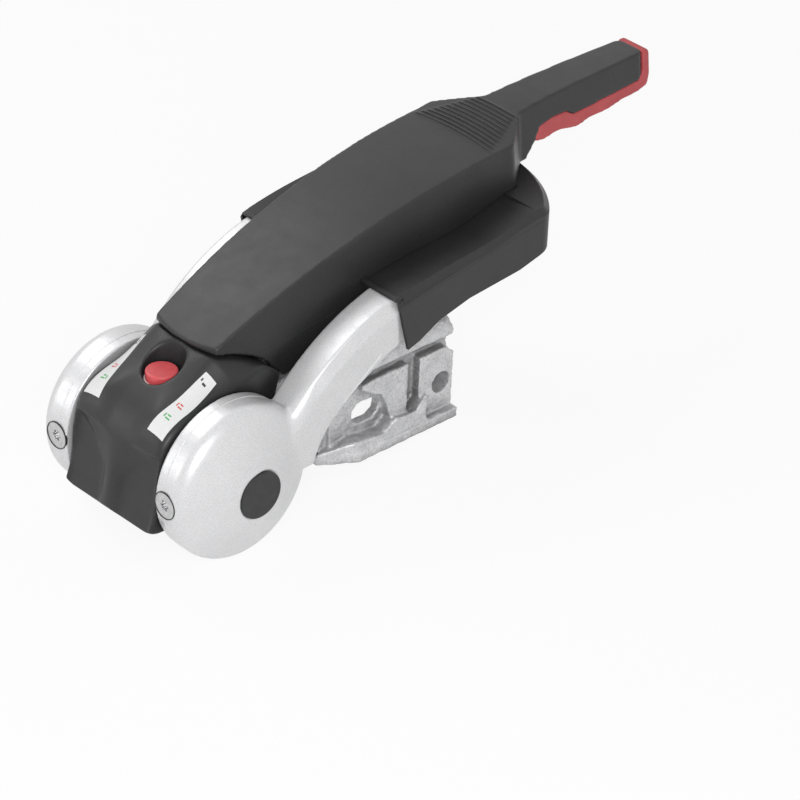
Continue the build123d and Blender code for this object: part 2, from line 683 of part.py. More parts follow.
def locking_jaw():
    """Jaw behind the ball, with its hinge boss and a seat for the rear pad."""
    outline = polygon(
        (JAW_X, JAW_Z + JAW_BOSS_R),
        (-33.0, 18.0),
        (-22.0, 8.0),
        (-17.0, -19.0),
        (-24.0, -24.0),
        (-42.0, -6.0),
        (JAW_X - JAW_BOSS_R, JAW_Z),
    )
    jaw = side_slab(outline, -JAW_HALF_W, JAW_HALF_W)
    jaw += rod_y(JAW_X, JAW_Z, JAW_BOSS_R, -JAW_HALF_W, JAW_HALF_W)
    jaw -= Sphere(SOCKET_R + SIDE_PAD_GAP)
    jaw -= rear_pad(SEAT_FIT)
    return jaw - rod_y(JAW_X, JAW_Z, HINGE_PIN_R + RUN_FIT, -JAW_HALF_W - 1, JAW_HALF_W + 1)


def rear_pad(grow=0.0):
    """Friction lining on the jaw's hollow face."""
    shell = Sphere(SOCKET_R + SIDE_PAD_GAP + PAD_T + grow) - Sphere(SOCKET_R + SIDE_PAD_GAP)
    width = PAD_HALF_W + grow
    return shell & block(-CUP_R, 0, -width, width, -14.0 - grow, 3.0 + grow)


def coupling_handle():
    """Pressed-sheet handle that works the jaw, nested under the lever's handle."""
    outline = polygon(
        (HANDLE_X + 9.0, HANDLE_Z - 6.0),
        (HANDLE_X + 10.0, HANDLE_Z + 6.0),
        (-66.0, 48.0),
        (-100.0, 73.0),
        (LATCH_END_X + 2.0, 90.5),
        (LATCH_END_X, 82.0),
        (-104.0, 60.0),
        (-79.0, 42.0),
        (HANDLE_X - 9.0, HANDLE_Z - 6.0),
    )
    inner = polygon(
        (HANDLE_X + 20.0, HANDLE_Z - 10.0),
        (HANDLE_X + 20.0, HANDLE_Z + 4.0),
        (-66.0, 48.0 - 1.4 * LATCH_SHEET),
        (-100.0, 73.0 - 1.2 * LATCH_SHEET),
        (LATCH_END_X + 2.0 + LATCH_SHEET, 90.5 - 1.4 * LATCH_SHEET),
        (LATCH_END_X + LATCH_SHEET, 60.0),
        (-100.0, 20.0),
        (HANDLE_X - 10.0, HANDLE_Z - 10.0),
    )
    sheet = side_slab(outline, -LATCH_HALF_W, LATCH_HALF_W)
    sheet -= side_slab(inner, LATCH_SHEET - LATCH_HALF_W, LATCH_HALF_W - LATCH_SHEET)
    return sheet - rod_y(HANDLE_X, HANDLE_Z, HINGE_PIN_R + RUN_FIT, -LATCH_HALF_W - 1, LATCH_HALF_W + 1)


def hinge_pin(x, z):
    """Plain pin across the neck's cheeks."""
    return rod_y(x, z, HINGE_PIN_R, -CHEEK_OUT_Y, CHEEK_OUT_Y)


def handle_spring():
    """Coil round the handle pin."""
    pitch = 2 * LATCH_SPRING_WIRE_R + 0.6
    start = -LATCH_SPRING_TURNS * pitch / 2
    radius = HINGE_PIN_R + LATCH_SPRING_WIRE_R + 0.25
    place = (HANDLE_X, start, HANDLE_Z)
    return coil(LATCH_SPRING_TURNS, pitch, radius, LATCH_SPRING_WIRE_R, place, (0, 1, 0))


def indicator_cap():
    """Red head of the coupling indicator."""
    cap = rod_z(RECESS_X, 0, INDICATOR_CAP_R, INDICATOR_CAP_TOP_Z - INDICATOR_CAP_T, INDICATOR_CAP_TOP_Z)
    return fillet(cap.edges().sort_by(Axis.Z)[-1], 1.0)


def indicator_pin():
    """Guide pin of the indicator, with the collar that its spring presses on."""
    pin = rod_z(RECESS_X, 0, INDICATOR_PIN_R, INDICATOR_PIN_LOW_Z, INDICATOR_CAP_TOP_Z - INDICATOR_CAP_T)
    collar_top = INDICATOR_COLLAR_Z + INDICATOR_COLLAR_T
    return pin + rod_z(RECESS_X, 0, INDICATOR_COLLAR_R, INDICATOR_COLLAR_Z, collar_top)


def indicator_spring():
    """Coil between the indicator's collar and the recess floor."""
    low = INDICATOR_COLLAR_Z + INDICATOR_COLLAR_T + SPRING_WIRE_R + 0.1
    high = RECESS_FLOOR_Z - RECESS_FLOOR_T - SPRING_WIRE_R - 0.1
    pitch = (high - low) / SPRING_TURNS
    radius = INDICATOR_PIN_R + SPRING_WIRE_R + 0.3
    return coil(SPRING_TURNS, pitch, radius, SPRING_WIRE_R, (RECESS_X, 0, low), (0, 0, 1))


def dock_screw(grow=0.0):
    """Screw from below through the dock's floor into the cup's lug."""
    top = DOCK_FLOOR_Z + DOCK_SCREW_LEN
    shank = rod_z(DOCK_SCREW_X, DOCK_SCREW_Y, DOCK_SCREW_R + grow, DOCK_FLOOR_Z - grow, top)
    head_low = DOCK_FLOOR_Z - DOCK_SCREW_HEAD_T
    return shank + rod_z(DOCK_SCREW_X, DOCK_SCREW_Y, DOCK_SCREW_HEAD_R, head_low, DOCK_FLOOR_Z)


def dock_side(wall):
    """Side-view outline of the soft dock, drawn in by wall."""
    hinge_r = DOCK_HINGE_R - wall
    rear = on_circle(hinge_r, HINGE_LOW_ANGLE)
    crest = on_circle(hinge_r, DOCK_CREST_ANGLE)
    middle = on_circle(hinge_r, (HINGE_LOW_ANGLE + DOCK_CREST_ANGLE) / 2)
    brow = (DOCK_BROW_X - wall * 0.6, DOCK_BROW_Z - wall * 0.8)
    lift = Vector(crest[1] - brow[1], brow[0] - crest[0]).normalized() * DOCK_TOP_RISE
    top = ThreePointArc(crest, ((crest[0] + brow[0]) / 2 + lift.X, (crest[1] + brow[1]) / 2 + lift.Y), brow)
    nose = (DOCK_FRONT_X - wall, DOCK_FRONT_Z)
    foot = (DOCK_NOSE_X - wall, DOCK_FOOT_Z)
    floor = (DOCK_NOSE_X - DOCK_TOE - wall, DOCK_FLOOR_Z + wall)
    outline = [
        ThreePointArc(rear, middle, crest),
        top,
        TangentArc(brow, nose, tangent=top % 1),
        Polyline(nose, foot, floor, (0.0, DOCK_FLOOR_Z + wall), (0.0, 0.0), (-35.0, 10.0), rear),
    ]
    return make_face(outline)


def dock_crown():
    """Long body with a slightly domed top that slopes like the dock's top."""
    start = on_circle(DOCK_HINGE_R, DOCK_CREST_ANGLE)
    slope = Vector(DOCK_BROW_X - start[0], 0.0, DOCK_BROW_Z - start[1])
    lift = Vector(-slope.Z, 0.0, slope.X).normalized() * 1.3
    origin = Vector(start[0], 0.0, start[1]) - slope + lift
    plane = Plane(origin=origin, x_dir=(0, 1, 0), z_dir=slope)
    edge_y = DOCK_HALF_W
    drop = DOCK_CROWN * (edge_y / 24.0) ** 2
    sign = 1.0 if plane.y_dir.Z > 0 else -1.0
    low = -150.0 * sign
    outline = [
        ThreePointArc((-edge_y, -drop * sign), (0.0, 0.0), (edge_y, -drop * sign)),
        Polyline((edge_y, -drop * sign), (edge_y, low), (-edge_y, low), (-edge_y, -drop * sign)),
    ]
    return extrude(plane * make_face(outline), slope.length * 4, dir=slope.normalized())


def recess(grow):
    """Cone-shaped recess round the indicator, widening upwards."""
    height = RECESS_TOP_Z - RECESS_FLOOR_Z
    cone = Cone(RECESS_R + grow, RECESS_TOP_R + grow, height)
    return Pos(RECESS_X, 0, RECESS_FLOOR_Z + height / 2) * cone


def on_brow(edge):
    """True for the crease between the dock's top and its front."""
    middle = edge @ 0.5
    return middle.X > DOCK_BROW_X and middle.Z > DOCK_BROW_Z - 11.0 and abs(middle.Y) < DOCK_HALF_W - 0.5


def on_dock_rim(edge):
    """True for the long edges between the dock's outside and its cheeks."""
    middle = edge @ 0.5
    level = abs((edge @ 0).Y - (edge @ 1).Y) < 0.5
    return level and abs(middle.Y) > DOCK_HALF_W - 0.1 and middle.X > 0.1 and middle.Z > DOCK_FLOOR_Z + 4.0


def nose_scoop():
    """Barrel that dishes one side of the nose, deepest at the cheek."""
    across = SCOOP_W * SCOOP_W / (2 * SCOOP_DEPTH)
    end = across - SCOOP_DEPTH
    arc = ThreePointArc((end, -SCOOP_H), (across, 0), (end, SCOOP_H))
    rest = Polyline((end, SCOOP_H), (0, SCOOP_H), (0, -SCOOP_H), (end, -SCOOP_H))
    barrel = revolve(Plane.XZ * make_face([arc, rest]), Axis.Z)
    front_x = DOCK_NOSE_X - FRONT_RUN * (SCOOP_Z - DOCK_FOOT_Z)
    centre = Pos(front_x - SCOOP_DEPTH + across, DOCK_HALF_W, SCOOP_Z)
    return centre * Pos(-across, 0, 0) * Rot(0, -SCOOP_LEAN, 0) * Pos(across, 0, 0) * barrel


def dock_form():
    """Outside of the soft dock as a solid, with its edges rounded."""
    form = side_slab(dock_side(0.0), -DOCK_HALF_W, DOCK_HALF_W) & dock_crown()
    form = fillet(form.edges().filter_by(on_brow), DOCK_BROW_R)
    form = fillet(form.edges().filter_by(on_dock_rim), DOCK_EDGE_R)
    return form - nose_scoop() - right_hand(nose_scoop())


def soft_dock():
    """Black nose cover between the round arm heads."""
    outer = dock_form()
    inner_w = DOCK_HALF_W - DOCK_WALL
    hollow = side_slab(dock_side(DOCK_WALL), -inner_w, inner_w) & Pos(0, 0, -DOCK_WALL) * dock_crown()
    hollow += block(-60, 0.5, -inner_w, inner_w, -60, 36)
    dock = outer - hollow
    floor_z = RECESS_FLOOR_Z - RECESS_FLOOR_T
    well = recess(2.4) + rod_z(RECESS_X, 0, RECESS_R + 2.4, floor_z, RECESS_FLOOR_Z + 1.0)
    dock += well & outer
    dock -= recess(0.0)
    dock -= rod_z(RECESS_X, 0, INDICATOR_PIN_R + FREE_GAP, floor_z - 5.0, RECESS_FLOOR_Z + 1.0)
    tube = TUBE_R + FREE_GAP
    dock -= rod_y(0, 0, tube, -80, 80) + block(-80, tube, -80, 80, -60, 0)
    dock -= rod_z(0, 0, CUP_R + FREE_GAP, -60, 0) + Sphere(CUP_R + FREE_GAP)
    return dock - both_sides(dock_screw(SEAT_FIT))


def foot_plan():
    """Plan outline of one clamp wall's foot, tapering in towards the neck."""
    inner = CHEEK_IN_Y + 1.0
    return polygon((CLAMP_REAR_X, FLANGE_Y), (FLANGE_TAPER_X, FLANGE_Y), (FLANGE_NOSE_X, FLANGE_NOSE_Y),
                   (FLANGE_NOSE_X, inner), (CLAMP_REAR_X, inner))


def clamp_side():
    """Raised pad, boss and foot on the outside of one clamp wall."""
    inside = CLAMP_WALL_Y - 2.0
    groove_x = GROOVE_REAR_X + 4.5
    pad = polygon((CLAMP_REAR_X, FLANGE_BOTTOM_Z), (CLAMP_REAR_X, PAD_TOP_Z - 5.0),
                  (CLAMP_REAR_X + 6.0, PAD_TOP_Z),
                  (GROOVE_REAR_X, PAD_TOP_Z), (GROOVE_REAR_X, GROOVE_Z + 5.5), (groove_x, GROOVE_Z),
                  (groove_x, FLANGE_BOTTOM_Z))
    boss = polygon((SLOT_X + 8.5, PAD_TOP_Z - 3.5), (SLOT_X + 7.5, PAD_TOP_Z - 0.5),
                   (SLOT_X + 1.5, PAD_TOP_Z), (GROOVE_FRONT_X, PAD_TOP_Z),
                   (GROOVE_FRONT_X, GROOVE_Z - 3.0), (SLOT_X - 14.5, GROOVE_Z - 3.0),
                   (SLOT_X - 11.5, DRAWBAR_Z + 0.6), (SLOT_X - 6.5, DRAWBAR_Z + 10.0),
                   (SLOT_X + 1.5, PAD_TOP_Z - 8.0))
    web = polygon((FLANGE_NOSE_X, FLANGE_BOTTOM_Z), (FLANGE_NOSE_X, FLANGE_BOTTOM_Z + 7.0),
                  (FLANGE_TAPER_X + 2.0, FLANGE_BOTTOM_Z + 12.5), (SLOT_X - 5.5, FLANGE_BOTTOM_Z + 9.5),
                  (SLOT_X - 15.5, GROOVE_Z + 1.5), (SLOT_X - 23.5, GROOVE_Z), (groove_x, GROOVE_Z),
                  (GROOVE_REAR_X, GROOVE_Z + 5.5), (FOOT_FRONT_X, GROOVE_Z + 7.5),
                  (FOOT_FRONT_X, FLANGE_BOTTOM_Z))
    side = side_slab(pad, inside, CLAMP_PAD_Y) + side_slab(boss, inside, CLAMP_PAD_Y)
    side += side_slab(web, inside, WEB_Y) & plan_slab(foot_plan(), FLANGE_BOTTOM_Z, 0)
    return side + plan_slab(foot_plan(), FLANGE_BOTTOM_Z, FLANGE_BOTTOM_Z + FLANGE_T)


def drawbar_room():
    """Space for the drawbar tube, open below and to the rear."""
    tube = rod_x(0, DRAWBAR_Z, DRAWBAR_R, CLAMP_REAR_X - 10, CLAMP_FRONT_X)
    return tube + block(CLAMP_REAR_X - 10, CLAMP_FRONT_X, -DRAWBAR_R, DRAWBAR_R, -60, DRAWBAR_Z)


def clamp():
    """Inverted channel that sits over the drawbar, with its feet and bolt holes."""
    section = make_face(Polyline(
        (-CLAMP_WALL_Y, FLANGE_BOTTOM_Z), (-CLAMP_WALL_Y, SHOULDER_Z), (-SHOULDER_Y, SHOULDER_Z),
        (-SHOULDER_Y, CLAMP_TOP_Z), (SHOULDER_Y, CLAMP_TOP_Z), (SHOULDER_Y, SHOULDER_Z),
        (CLAMP_WALL_Y, SHOULDER_Z), (CLAMP_WALL_Y, FLANGE_BOTTOM_Z), close=True))
    shoulders = section.vertices().filter_by(lambda v: v.Y > CLAMP_TOP_Z - 0.1)
    channel = end_slab(fillet(shoulders, CLAMP_CORNER_R), CLAMP_REAR_X, CLAMP_FRONT_X + 8.0)
    body = channel + both_sides(clamp_side())
    body -= drawbar_room()
    body -= rod_y(BOLT_REAR_X, DRAWBAR_Z, BOLT_HOLE_R, -60, 60)
    slot = SlotOverall(BOLT_SLOT_LEN, 2 * BOLT_HOLE_R)
    return body - side_slab(Pos(SLOT_X, DRAWBAR_Z) * slot, -60, 60)


def neck():
    """Two cheeks that join the clamp to the ball cup."""
    outline = polygon((-5.0, -CUP_DROP), (-5.0, 28.0), (-40.0, 30.0), (-58.0, 33.0), (-72.0, 29.0),
                      (CLAMP_FRONT_X, CLAMP_TOP_Z), (CLAMP_FRONT_X, -30.0), (-70.0, -CUP_DROP))
    return both_sides(side_slab(outline, CHEEK_IN_Y, CHEEK_OUT_Y))


def coupling_body():
    """Casting: ball cup with side tubes, neck and drawbar clamp."""
    cup = Sphere(CUP_R) & block(-60, 60, -60, 60, 0, 60)
    cup += rod_z(0, 0, CUP_R, -CUP_DROP, 0)
    cup += rod_y(0, 0, TUBE_R, -TUBE_END_Y, TUBE_END_Y)
    collar_y = DISC_IN_Y + 0.5
    cup += both_sides(rod_y(0, 0, TUBE_COLLAR_R, collar_y, collar_y + TUBE_COLLAR_W))
    lug_top = DOCK_FLOOR_Z + DOCK_WALL + DOCK_SCREW_LEN - 1.0
    lug_y = DOCK_SCREW_Y - 6.0
    lug = block(18.0, DOCK_SCREW_X + 4.5, lug_y, lug_y + 12.0, DOCK_FLOOR_Z + DOCK_WALL, lug_top)
    cup += both_sides(lug)
    body = cup + neck() + clamp()
    body -= Sphere(SOCKET_R) + rod_z(0, 0, SOCKET_R, -60, 0)
    body -= block(CLAMP_FRONT_X + 8.0, -12.0, -CHEEK_IN_Y, CHEEK_IN_Y, -60, 20)
    body -= block(CLAMP_FRONT_X + 8.0, -24.0, -CHEEK_IN_Y, CHEEK_IN_Y, -60, 60)
    bore = rod_y(0, 0, HOLDER_R + RUN_FIT, HOLDER_IN_Y - 1.5, TUBE_END_Y + 1)
    bore += rod_y(0, 0, SIDE_PAD_R + FREE_GAP, 0, HOLDER_IN_Y)
    body -= both_sides(bore)
    body -= front_pad(SEAT_FIT)
    body -= rod_z(RECESS_X, 0, SPOT_FACE_R, SPOT_FACE_Z, 60)
    body -= rod_z(RECESS_X, 0, INDICATOR_PIN_R + RUN_FIT, 0, 60)
    for x, z in ((JAW_X, JAW_Z), (HANDLE_X, HANDLE_Z)):
        body -= rod_y(x, z, HINGE_PIN_R + SEAT_FIT, -60, 60)
    return body - both_sides(dock_screw(SEAT_FIT))


def pair(name, part):
    """A left-hand piece and its right-hand mirror image."""
    return {name + "_left": part, name + "_right": right_hand(part)}


def assembly():
    """Every piece of the coupling head, by node name."""
    pieces = {
        "coupling_body": coupling_body(),
        "soft_dock": soft_dock(),
        "dock_screws": both_sides(dock_screw()),
        "front_friction_pad": front_pad(),
        "jaw_pin": hinge_pin(JAW_X, JAW_Z),
        "handle_pin": hinge_pin(HANDLE_X, HANDLE_Z),
        "handle_spring": handle_spring(),
        "indicator_spring": indicator_spring(),
        "cross_bar": cross_bar(),
        "arm_bolts": both_sides(arm_bolt()),
        "yoke_cover": yoke_cover(),
        "handle_shell": handle_shell(),
        "grip_insert": grip_insert(),
        "cover_screws": both_sides(cover_screw()),
        "coupling_handle": coupling_handle(),
        "locking_jaw": locking_jaw(),
        "rear_friction_pad": rear_pad(),
        "indicator_pin": indicator_pin(),
        "indicator_cap": indicator_cap(),
    }
    pieces |= pair("disc_bush", disc_bush())
    pieces |= pair("arm", arm())
    pieces |= pair("disc_cap", centre_cap())
    pieces |= pair("rim_screw", lobed_rim_screw())
    pieces |= pair("thrust_screw", thrust_screw())
    pieces |= pair("pad_holder", pad_holder())
    pieces |= pair("side_friction_pad", side_pad())
    return pieces


os.makedirs("parts", exist_ok=True)
for node, piece in assembly().items():
    export_step(piece, os.path.join("parts", node + ".step"))
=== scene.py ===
import bpy
import bmesh
import json
import math
import numpy as np
from mathutils import Matrix, Vector
from mathutils.bvhtree import BVHTree


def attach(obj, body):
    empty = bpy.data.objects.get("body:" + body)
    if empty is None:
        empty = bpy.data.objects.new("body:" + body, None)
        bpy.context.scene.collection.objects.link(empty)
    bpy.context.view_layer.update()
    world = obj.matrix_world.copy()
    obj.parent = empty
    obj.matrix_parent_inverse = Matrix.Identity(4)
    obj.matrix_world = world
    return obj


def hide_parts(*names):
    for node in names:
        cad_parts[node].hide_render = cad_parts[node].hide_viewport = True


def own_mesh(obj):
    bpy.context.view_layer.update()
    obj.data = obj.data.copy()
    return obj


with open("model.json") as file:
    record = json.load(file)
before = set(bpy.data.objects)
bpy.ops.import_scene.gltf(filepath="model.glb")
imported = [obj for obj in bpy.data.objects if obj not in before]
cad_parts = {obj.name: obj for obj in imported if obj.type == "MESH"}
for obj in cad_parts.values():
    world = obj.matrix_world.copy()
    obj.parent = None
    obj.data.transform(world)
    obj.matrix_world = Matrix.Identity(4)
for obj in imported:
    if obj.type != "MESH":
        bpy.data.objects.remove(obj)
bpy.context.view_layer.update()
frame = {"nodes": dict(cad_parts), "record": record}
scene = bpy.context.scene

# Lengths are in metres. In the shaping, a pair gives where an effect starts and where it is full;
# it is measured to the rear where its name ends in REAR, and downwards where it ends in DOWN.

SIDES = (("left", 1), ("right", -1))

# The photograph's viewpoint, in the part's frame
AZIMUTH = math.radians(135.231)
ELEVATION = math.radians(32.312)
ROLL = math.radians(2.595)
DISTANCE = 2.137226
AIM_RIGHT = 0.120197
AIM_UP = 0.021461
FOCAL_PX = 4004.204
IMAGE_PX = 800
SENSOR_MM = 36.0
CLIP = (0.05, 50.0)


def link(obj):
    scene.collection.objects.link(obj)
    return obj


def make_camera():
    """Camera at the photograph's viewpoint."""
    back = Vector((
        math.sin(AZIMUTH) * math.cos(ELEVATION),
        -math.cos(AZIMUTH) * math.cos(ELEVATION),
        math.sin(ELEVATION),
    ))
    right = Vector((0, 0, 1)).cross(back).normalized()
    up = back.cross(right)
    side = right * math.cos(ROLL) + up * math.sin(ROLL)
    top = up * math.cos(ROLL) - right * math.sin(ROLL)
    data = bpy.data.cameras.new("camera")
    data.sensor_width = SENSOR_MM
    data.lens = SENSOR_MM * FOCAL_PX / IMAGE_PX
    data.clip_start, data.clip_end = CLIP
    camera = link(bpy.data.objects.new("camera", data))
    turn = Matrix((side, top, back)).transposed().to_4x4()
    place = back * DISTANCE + side * AIM_RIGHT + top * AIM_UP
    camera.matrix_world = Matrix.Translation(place) @ turn
    scene.camera = camera


# Materials

# Ambient occlusion that paints shade into corners and grooves: its samples, and the shares of open
# air that give its low and high value
SHADE_SAMPLES = 8
SHADE_SPAN = (0.35, 0.95)  # shares of open air that give the low and the high value
EDGE_SAMPLES = 6


class Paint:
    """A node material under construction."""

    def __init__(self, name, metallic=0.0):
        self.material = bpy.data.materials.new(name)
        self.material.use_nodes = True
        self.nodes = self.material.node_tree.nodes
        self.links = self.material.node_tree.links
        self.shader = self.nodes["Principled BSDF"]
        self.place = self.add("ShaderNodeTexCoord").outputs["Object"]
        self.shader.inputs["Metallic"].default_value = metallic

    def add(self, kind, **values):
        node = self.nodes.new(kind)
        for key, value in values.items():
            setattr(node, key, value)
        return node

    def noise(self, size, detail, rough=0.55):
        """Noise with features about size metres across, from 0 to 1."""
        node = self.add("ShaderNodeTexNoise")
        node.inputs["Scale"].default_value = 1.0 / size
        node.inputs["Detail"].default_value = detail
        node.inputs["Roughness"].default_value = rough
        self.links.new(self.place, node.inputs["Vector"])
        return node.outputs["Fac"]

    def cells(self, size):
        """Cells about size metres across."""
        node = self.add("ShaderNodeTexVoronoi")
        node.inputs["Scale"].default_value = 1.0 / size
        self.links.new(self.place, node.inputs["Vector"])
        return node.outputs["Distance"]

    def ramp(self, source, low, high, start=0.3, end=0.7):
        """Colour or grey from low to high as source goes from start to end."""
        node = self.add("ShaderNodeValToRGB")
        for element, at, value in zip(node.color_ramp.elements, (start, end), (low, high)):
            element.position = at
            rgb = (value,) * 3 if isinstance(value, float) else value
            element.color = (*rgb, 1.0)
        self.links.new(source, node.inputs["Fac"])
        return node.outputs["Color"]

    def times(self, a, b):
        """Product of two colours."""
        node = self.add("ShaderNodeMix", data_type="RGBA", blend_type="MULTIPLY")
        node.inputs["Factor"].default_value = 1.0
        self.links.new(a, node.inputs[6])
        self.links.new(b, node.inputs[7])
        return node.outputs[2]

    def painted_shade(self, reach, low, high):
        """Painted shade: from low in corners and grooves to high on open faces, by ambient
        occlusion over a reach in metres.
        """
        node = self.add("ShaderNodeAmbientOcclusion", samples=SHADE_SAMPLES)
        node.inputs["Distance"].default_value = reach
        return self.ramp(node.outputs["AO"], low, high, *SHADE_SPAN)

    def colour(self, source):
        self.links.new(source, self.shader.inputs["Base Color"])

    def rough(self, source):
        self.links.new(source, self.shader.inputs["Roughness"])

    def gloss(self, source):
        self.links.new(source, self.shader.inputs["Specular IOR Level"])

    def bump(self, *layers, edge=0.0):
        """Each layer is (height source, strength, depth), over edges rounded to a radius."""
        last = None
        if edge:
            node = self.add("ShaderNodeBevel", samples=EDGE_SAMPLES)
            node.inputs["Radius"].default_value = edge
            last = node.outputs["Normal"]
        for source, strength, depth in layers:
            node = self.add("ShaderNodeBump")
            node.inputs["Strength"].default_value = strength
            node.inputs["Distance"].default_value = depth
            self.links.new(source, node.inputs["Height"])
            if last:
                self.links.new(last, node.inputs["Normal"])
            last = node.outputs["Normal"]
        self.links.new(last, self.shader.inputs["Normal"])


def moulded_black(name, edge=0.0):
    """Grained satin plastic, whose reflections are dimmed in corners and grooves as painted shade.
    """
    paint = Paint(name)
    # Painted shade: the specular level falls in corners and grooves
    paint.gloss(paint.painted_shade(0.030, 0.05, 0.42))
    cloud = paint.ramp(paint.noise(0.045, 2.0), (0.019, 0.019, 0.020), (0.026, 0.026, 0.027))
    speck = paint.ramp(paint.noise(0.0007, 2.0), 0.82, 1.15, 0.35, 0.65)
    paint.colour(paint.times(cloud, speck))
    paint.rough(paint.ramp(paint.noise(0.012, 4.0), 0.37, 0.45))
    grain = (paint.noise(0.0009, 2.0), 0.35, 0.00008)
    paint.bump(grain, (paint.cells(0.0006), 0.12, 0.00005), edge=edge)
    return paint.material


def silver_coat():
    """Silver paint with a fine fleck over a cast skin."""
    paint = Paint("silver_coat", 0.35)
    cloud = paint.ramp(paint.noise(0.03, 3.0), (0.70, 0.70, 0.71), (0.75, 0.75, 0.76))
    fleck = paint.ramp(paint.noise(0.00055, 2.0), 0.86, 1.05, 0.33, 0.62)
    paint.colour(paint.times(cloud, fleck))
    paint.rough(paint.ramp(paint.noise(0.006, 4.0), 0.30, 0.40))
    skin = (paint.noise(0.0022, 3.0), 0.16, 0.00018)
    paint.bump(skin, (paint.noise(0.0007, 2.0), 0.22, 0.00008))
    return paint.material


def zinc_casting():
    """Pitted zinc-plated casting, with painted shade darkening its corners."""
    paint = Paint("zinc_casting", 0.45)
    cloud = paint.ramp(paint.noise(0.009, 5.0), (0.56, 0.56, 0.57), (0.70, 0.70, 0.71))
    pit = paint.ramp(paint.noise(0.0011, 4.0, 0.65), 0.62, 1.05, 0.30, 0.50)
    skin = paint.times(cloud, pit)
    # Painted shade: the colour is darkened in corners and grooves
    paint.colour(paint.times(skin, paint.painted_shade(0.012, 0.35, 1.0)))
    paint.rough(paint.ramp(paint.noise(0.0016, 4.0), 0.38, 0.58))
    lumps = (paint.noise(0.0035, 5.0, 0.6), 0.45, 0.0005)
    paint.bump(lumps, (paint.noise(0.0010, 3.0), 0.55, 0.00022))
    return paint.material


def plain(name, colour, rough, grain=None, metallic=0.0):
    """Plain material: its colour and roughness drift a little, and a fine grain may stand out.

    colour and rough are (noise size, detail, low, high); grain is (size, detail, strength, depth).
    """
    paint = Paint(name, metallic)
    paint.colour(paint.ramp(paint.noise(*colour[:2]), *colour[2:]))
    paint.rough(paint.ramp(paint.noise(*rough[:2]), *rough[2:]))
    if grain:
        paint.bump((paint.noise(*grain[:2]), *grain[2:]))
    return paint.material


def print_ink(name, low, high):
    """Printed film: paper or ink with a faint grain."""
    return plain(name, (0.0006, 2.0, low, high), (0.002, 2.0, 0.38, 0.48))


LOOKS = {
    "black_plastic": moulded_black("moulded_black"),
    "yoke": moulded_black("moulded_black_edges", 0.0005),
    "cap": plain(
        "cap_black",
        (0.006, 3.0, (0.020, 0.020, 0.021), (0.027, 0.027, 0.028)),
        (0.004, 3.0, 0.48, 0.60),
        (0.0005, 2.0, 0.25, 0.00005),
    ),
    "silver_arm": silver_coat(),
    "plated_casting": zinc_casting(),
    "steel": plain(
        "steel",
        (0.003, 4.0, (0.48, 0.48, 0.49), (0.62, 0.62, 0.62)),
        (0.0008, 3.0, 0.28, 0.42),
        (0.0004, 2.0, 0.15, 0.00004),
        metallic=1.0,
    ),
    "plated_steel": plain(
        "plated_steel",
        (0.008, 4.0, (0.55, 0.55, 0.53), (0.70, 0.69, 0.66)),
        (0.002, 4.0, 0.26, 0.40),
        (0.0012, 2.0, 0.12, 0.00006),
        metallic=1.0,
    ),
    "red_grip": plain(
        "red_rubber",
        (0.01, 3.0, (0.48, 0.075, 0.082), (0.55, 0.092, 0.100)),
        (0.003, 3.0, 0.52, 0.64),
        (0.0006, 2.0, 0.30, 0.00006),
    ),
    "red_plastic": plain(
        "red_plastic",
        (0.004, 3.0, (0.68, 0.085, 0.095), (0.76, 0.105, 0.115)),
        (0.002, 3.0, 0.30, 0.42),
        (0.0008, 2.0, 0.10, 0.00005),
    ),
    "friction_lining": plain(
        "friction_lining",
        (0.0012, 5.0, (0.10, 0.085, 0.075), (0.22, 0.18, 0.15)),
        (0.001, 3.0, 0.75, 0.90),
        (0.0007, 3.0, 0.5, 0.0001),
    ),
    "bearing_plastic": plain(
        "bearing_plastic",
        (0.004, 3.0, (0.07, 0.07, 0.07), (0.10, 0.10, 0.10)),
        (0.002, 3.0, 0.40, 0.52),
    ),
    "paper": print_ink("label_film", (0.78, 0.78, 0.78), (0.84, 0.84, 0.84)),
    "ink_black": print_ink("ink_black", (0.02, 0.02, 0.02), (0.03, 0.03, 0.03)),
    "ink_red": print_ink("ink_red", (0.60, 0.07, 0.05), (0.68, 0.09, 0.07)),
    "ink_green": print_ink("ink_green", (0.05, 0.36, 0.08), (0.07, 0.44, 0.11)),
}

SLOT_OF = {row["node"]: row["material_slot"] for row in frame["record"]["subparts"]}
BODIES = frame["record"]["behaviour"]["bodies"]
BODY_OF = {node: body for body, nodes in BODIES.items() for node in nodes}

# CAD nodes whose look isn't that of their slot
CAD_LOOKS = {"disc_cap_left": "cap", "disc_cap_right": "cap", "yoke_cover": "yoke"}


def dress(obj, look):
    obj.data.materials.clear()
    obj.data.materials.append(LOOKS[look])


def dress_cad():
    """Give each CAD node its material, by default that of its slot."""
    for name, obj in frame["nodes"].items():
        dress(obj, CAD_LOOKS.get(name, SLOT_OF[name]))


# Mesh work

MERGE_DIST = 1e-6
RELAX_STEP = 0.5


def coords(mesh):
    out = np.empty(len(mesh.vertices) * 3, dtype=np.float64)
    mesh.vertices.foreach_get("co", out)
    return out.reshape(-1, 3)


def put_coords(mesh, points):
    mesh.vertices.foreach_set("co", points.astype(np.float32).ravel())
    mesh.update()


def normals(mesh):
    out = np.empty(len(mesh.vertices) * 3, dtype=np.float32)
    mesh.vertex_normals.foreach_get("vector", out)
    return out.reshape(-1, 3).astype(np.float64)


def shade(mesh, smooth):
    mesh.polygons.foreach_set("use_smooth", [smooth] * len(mesh.polygons))


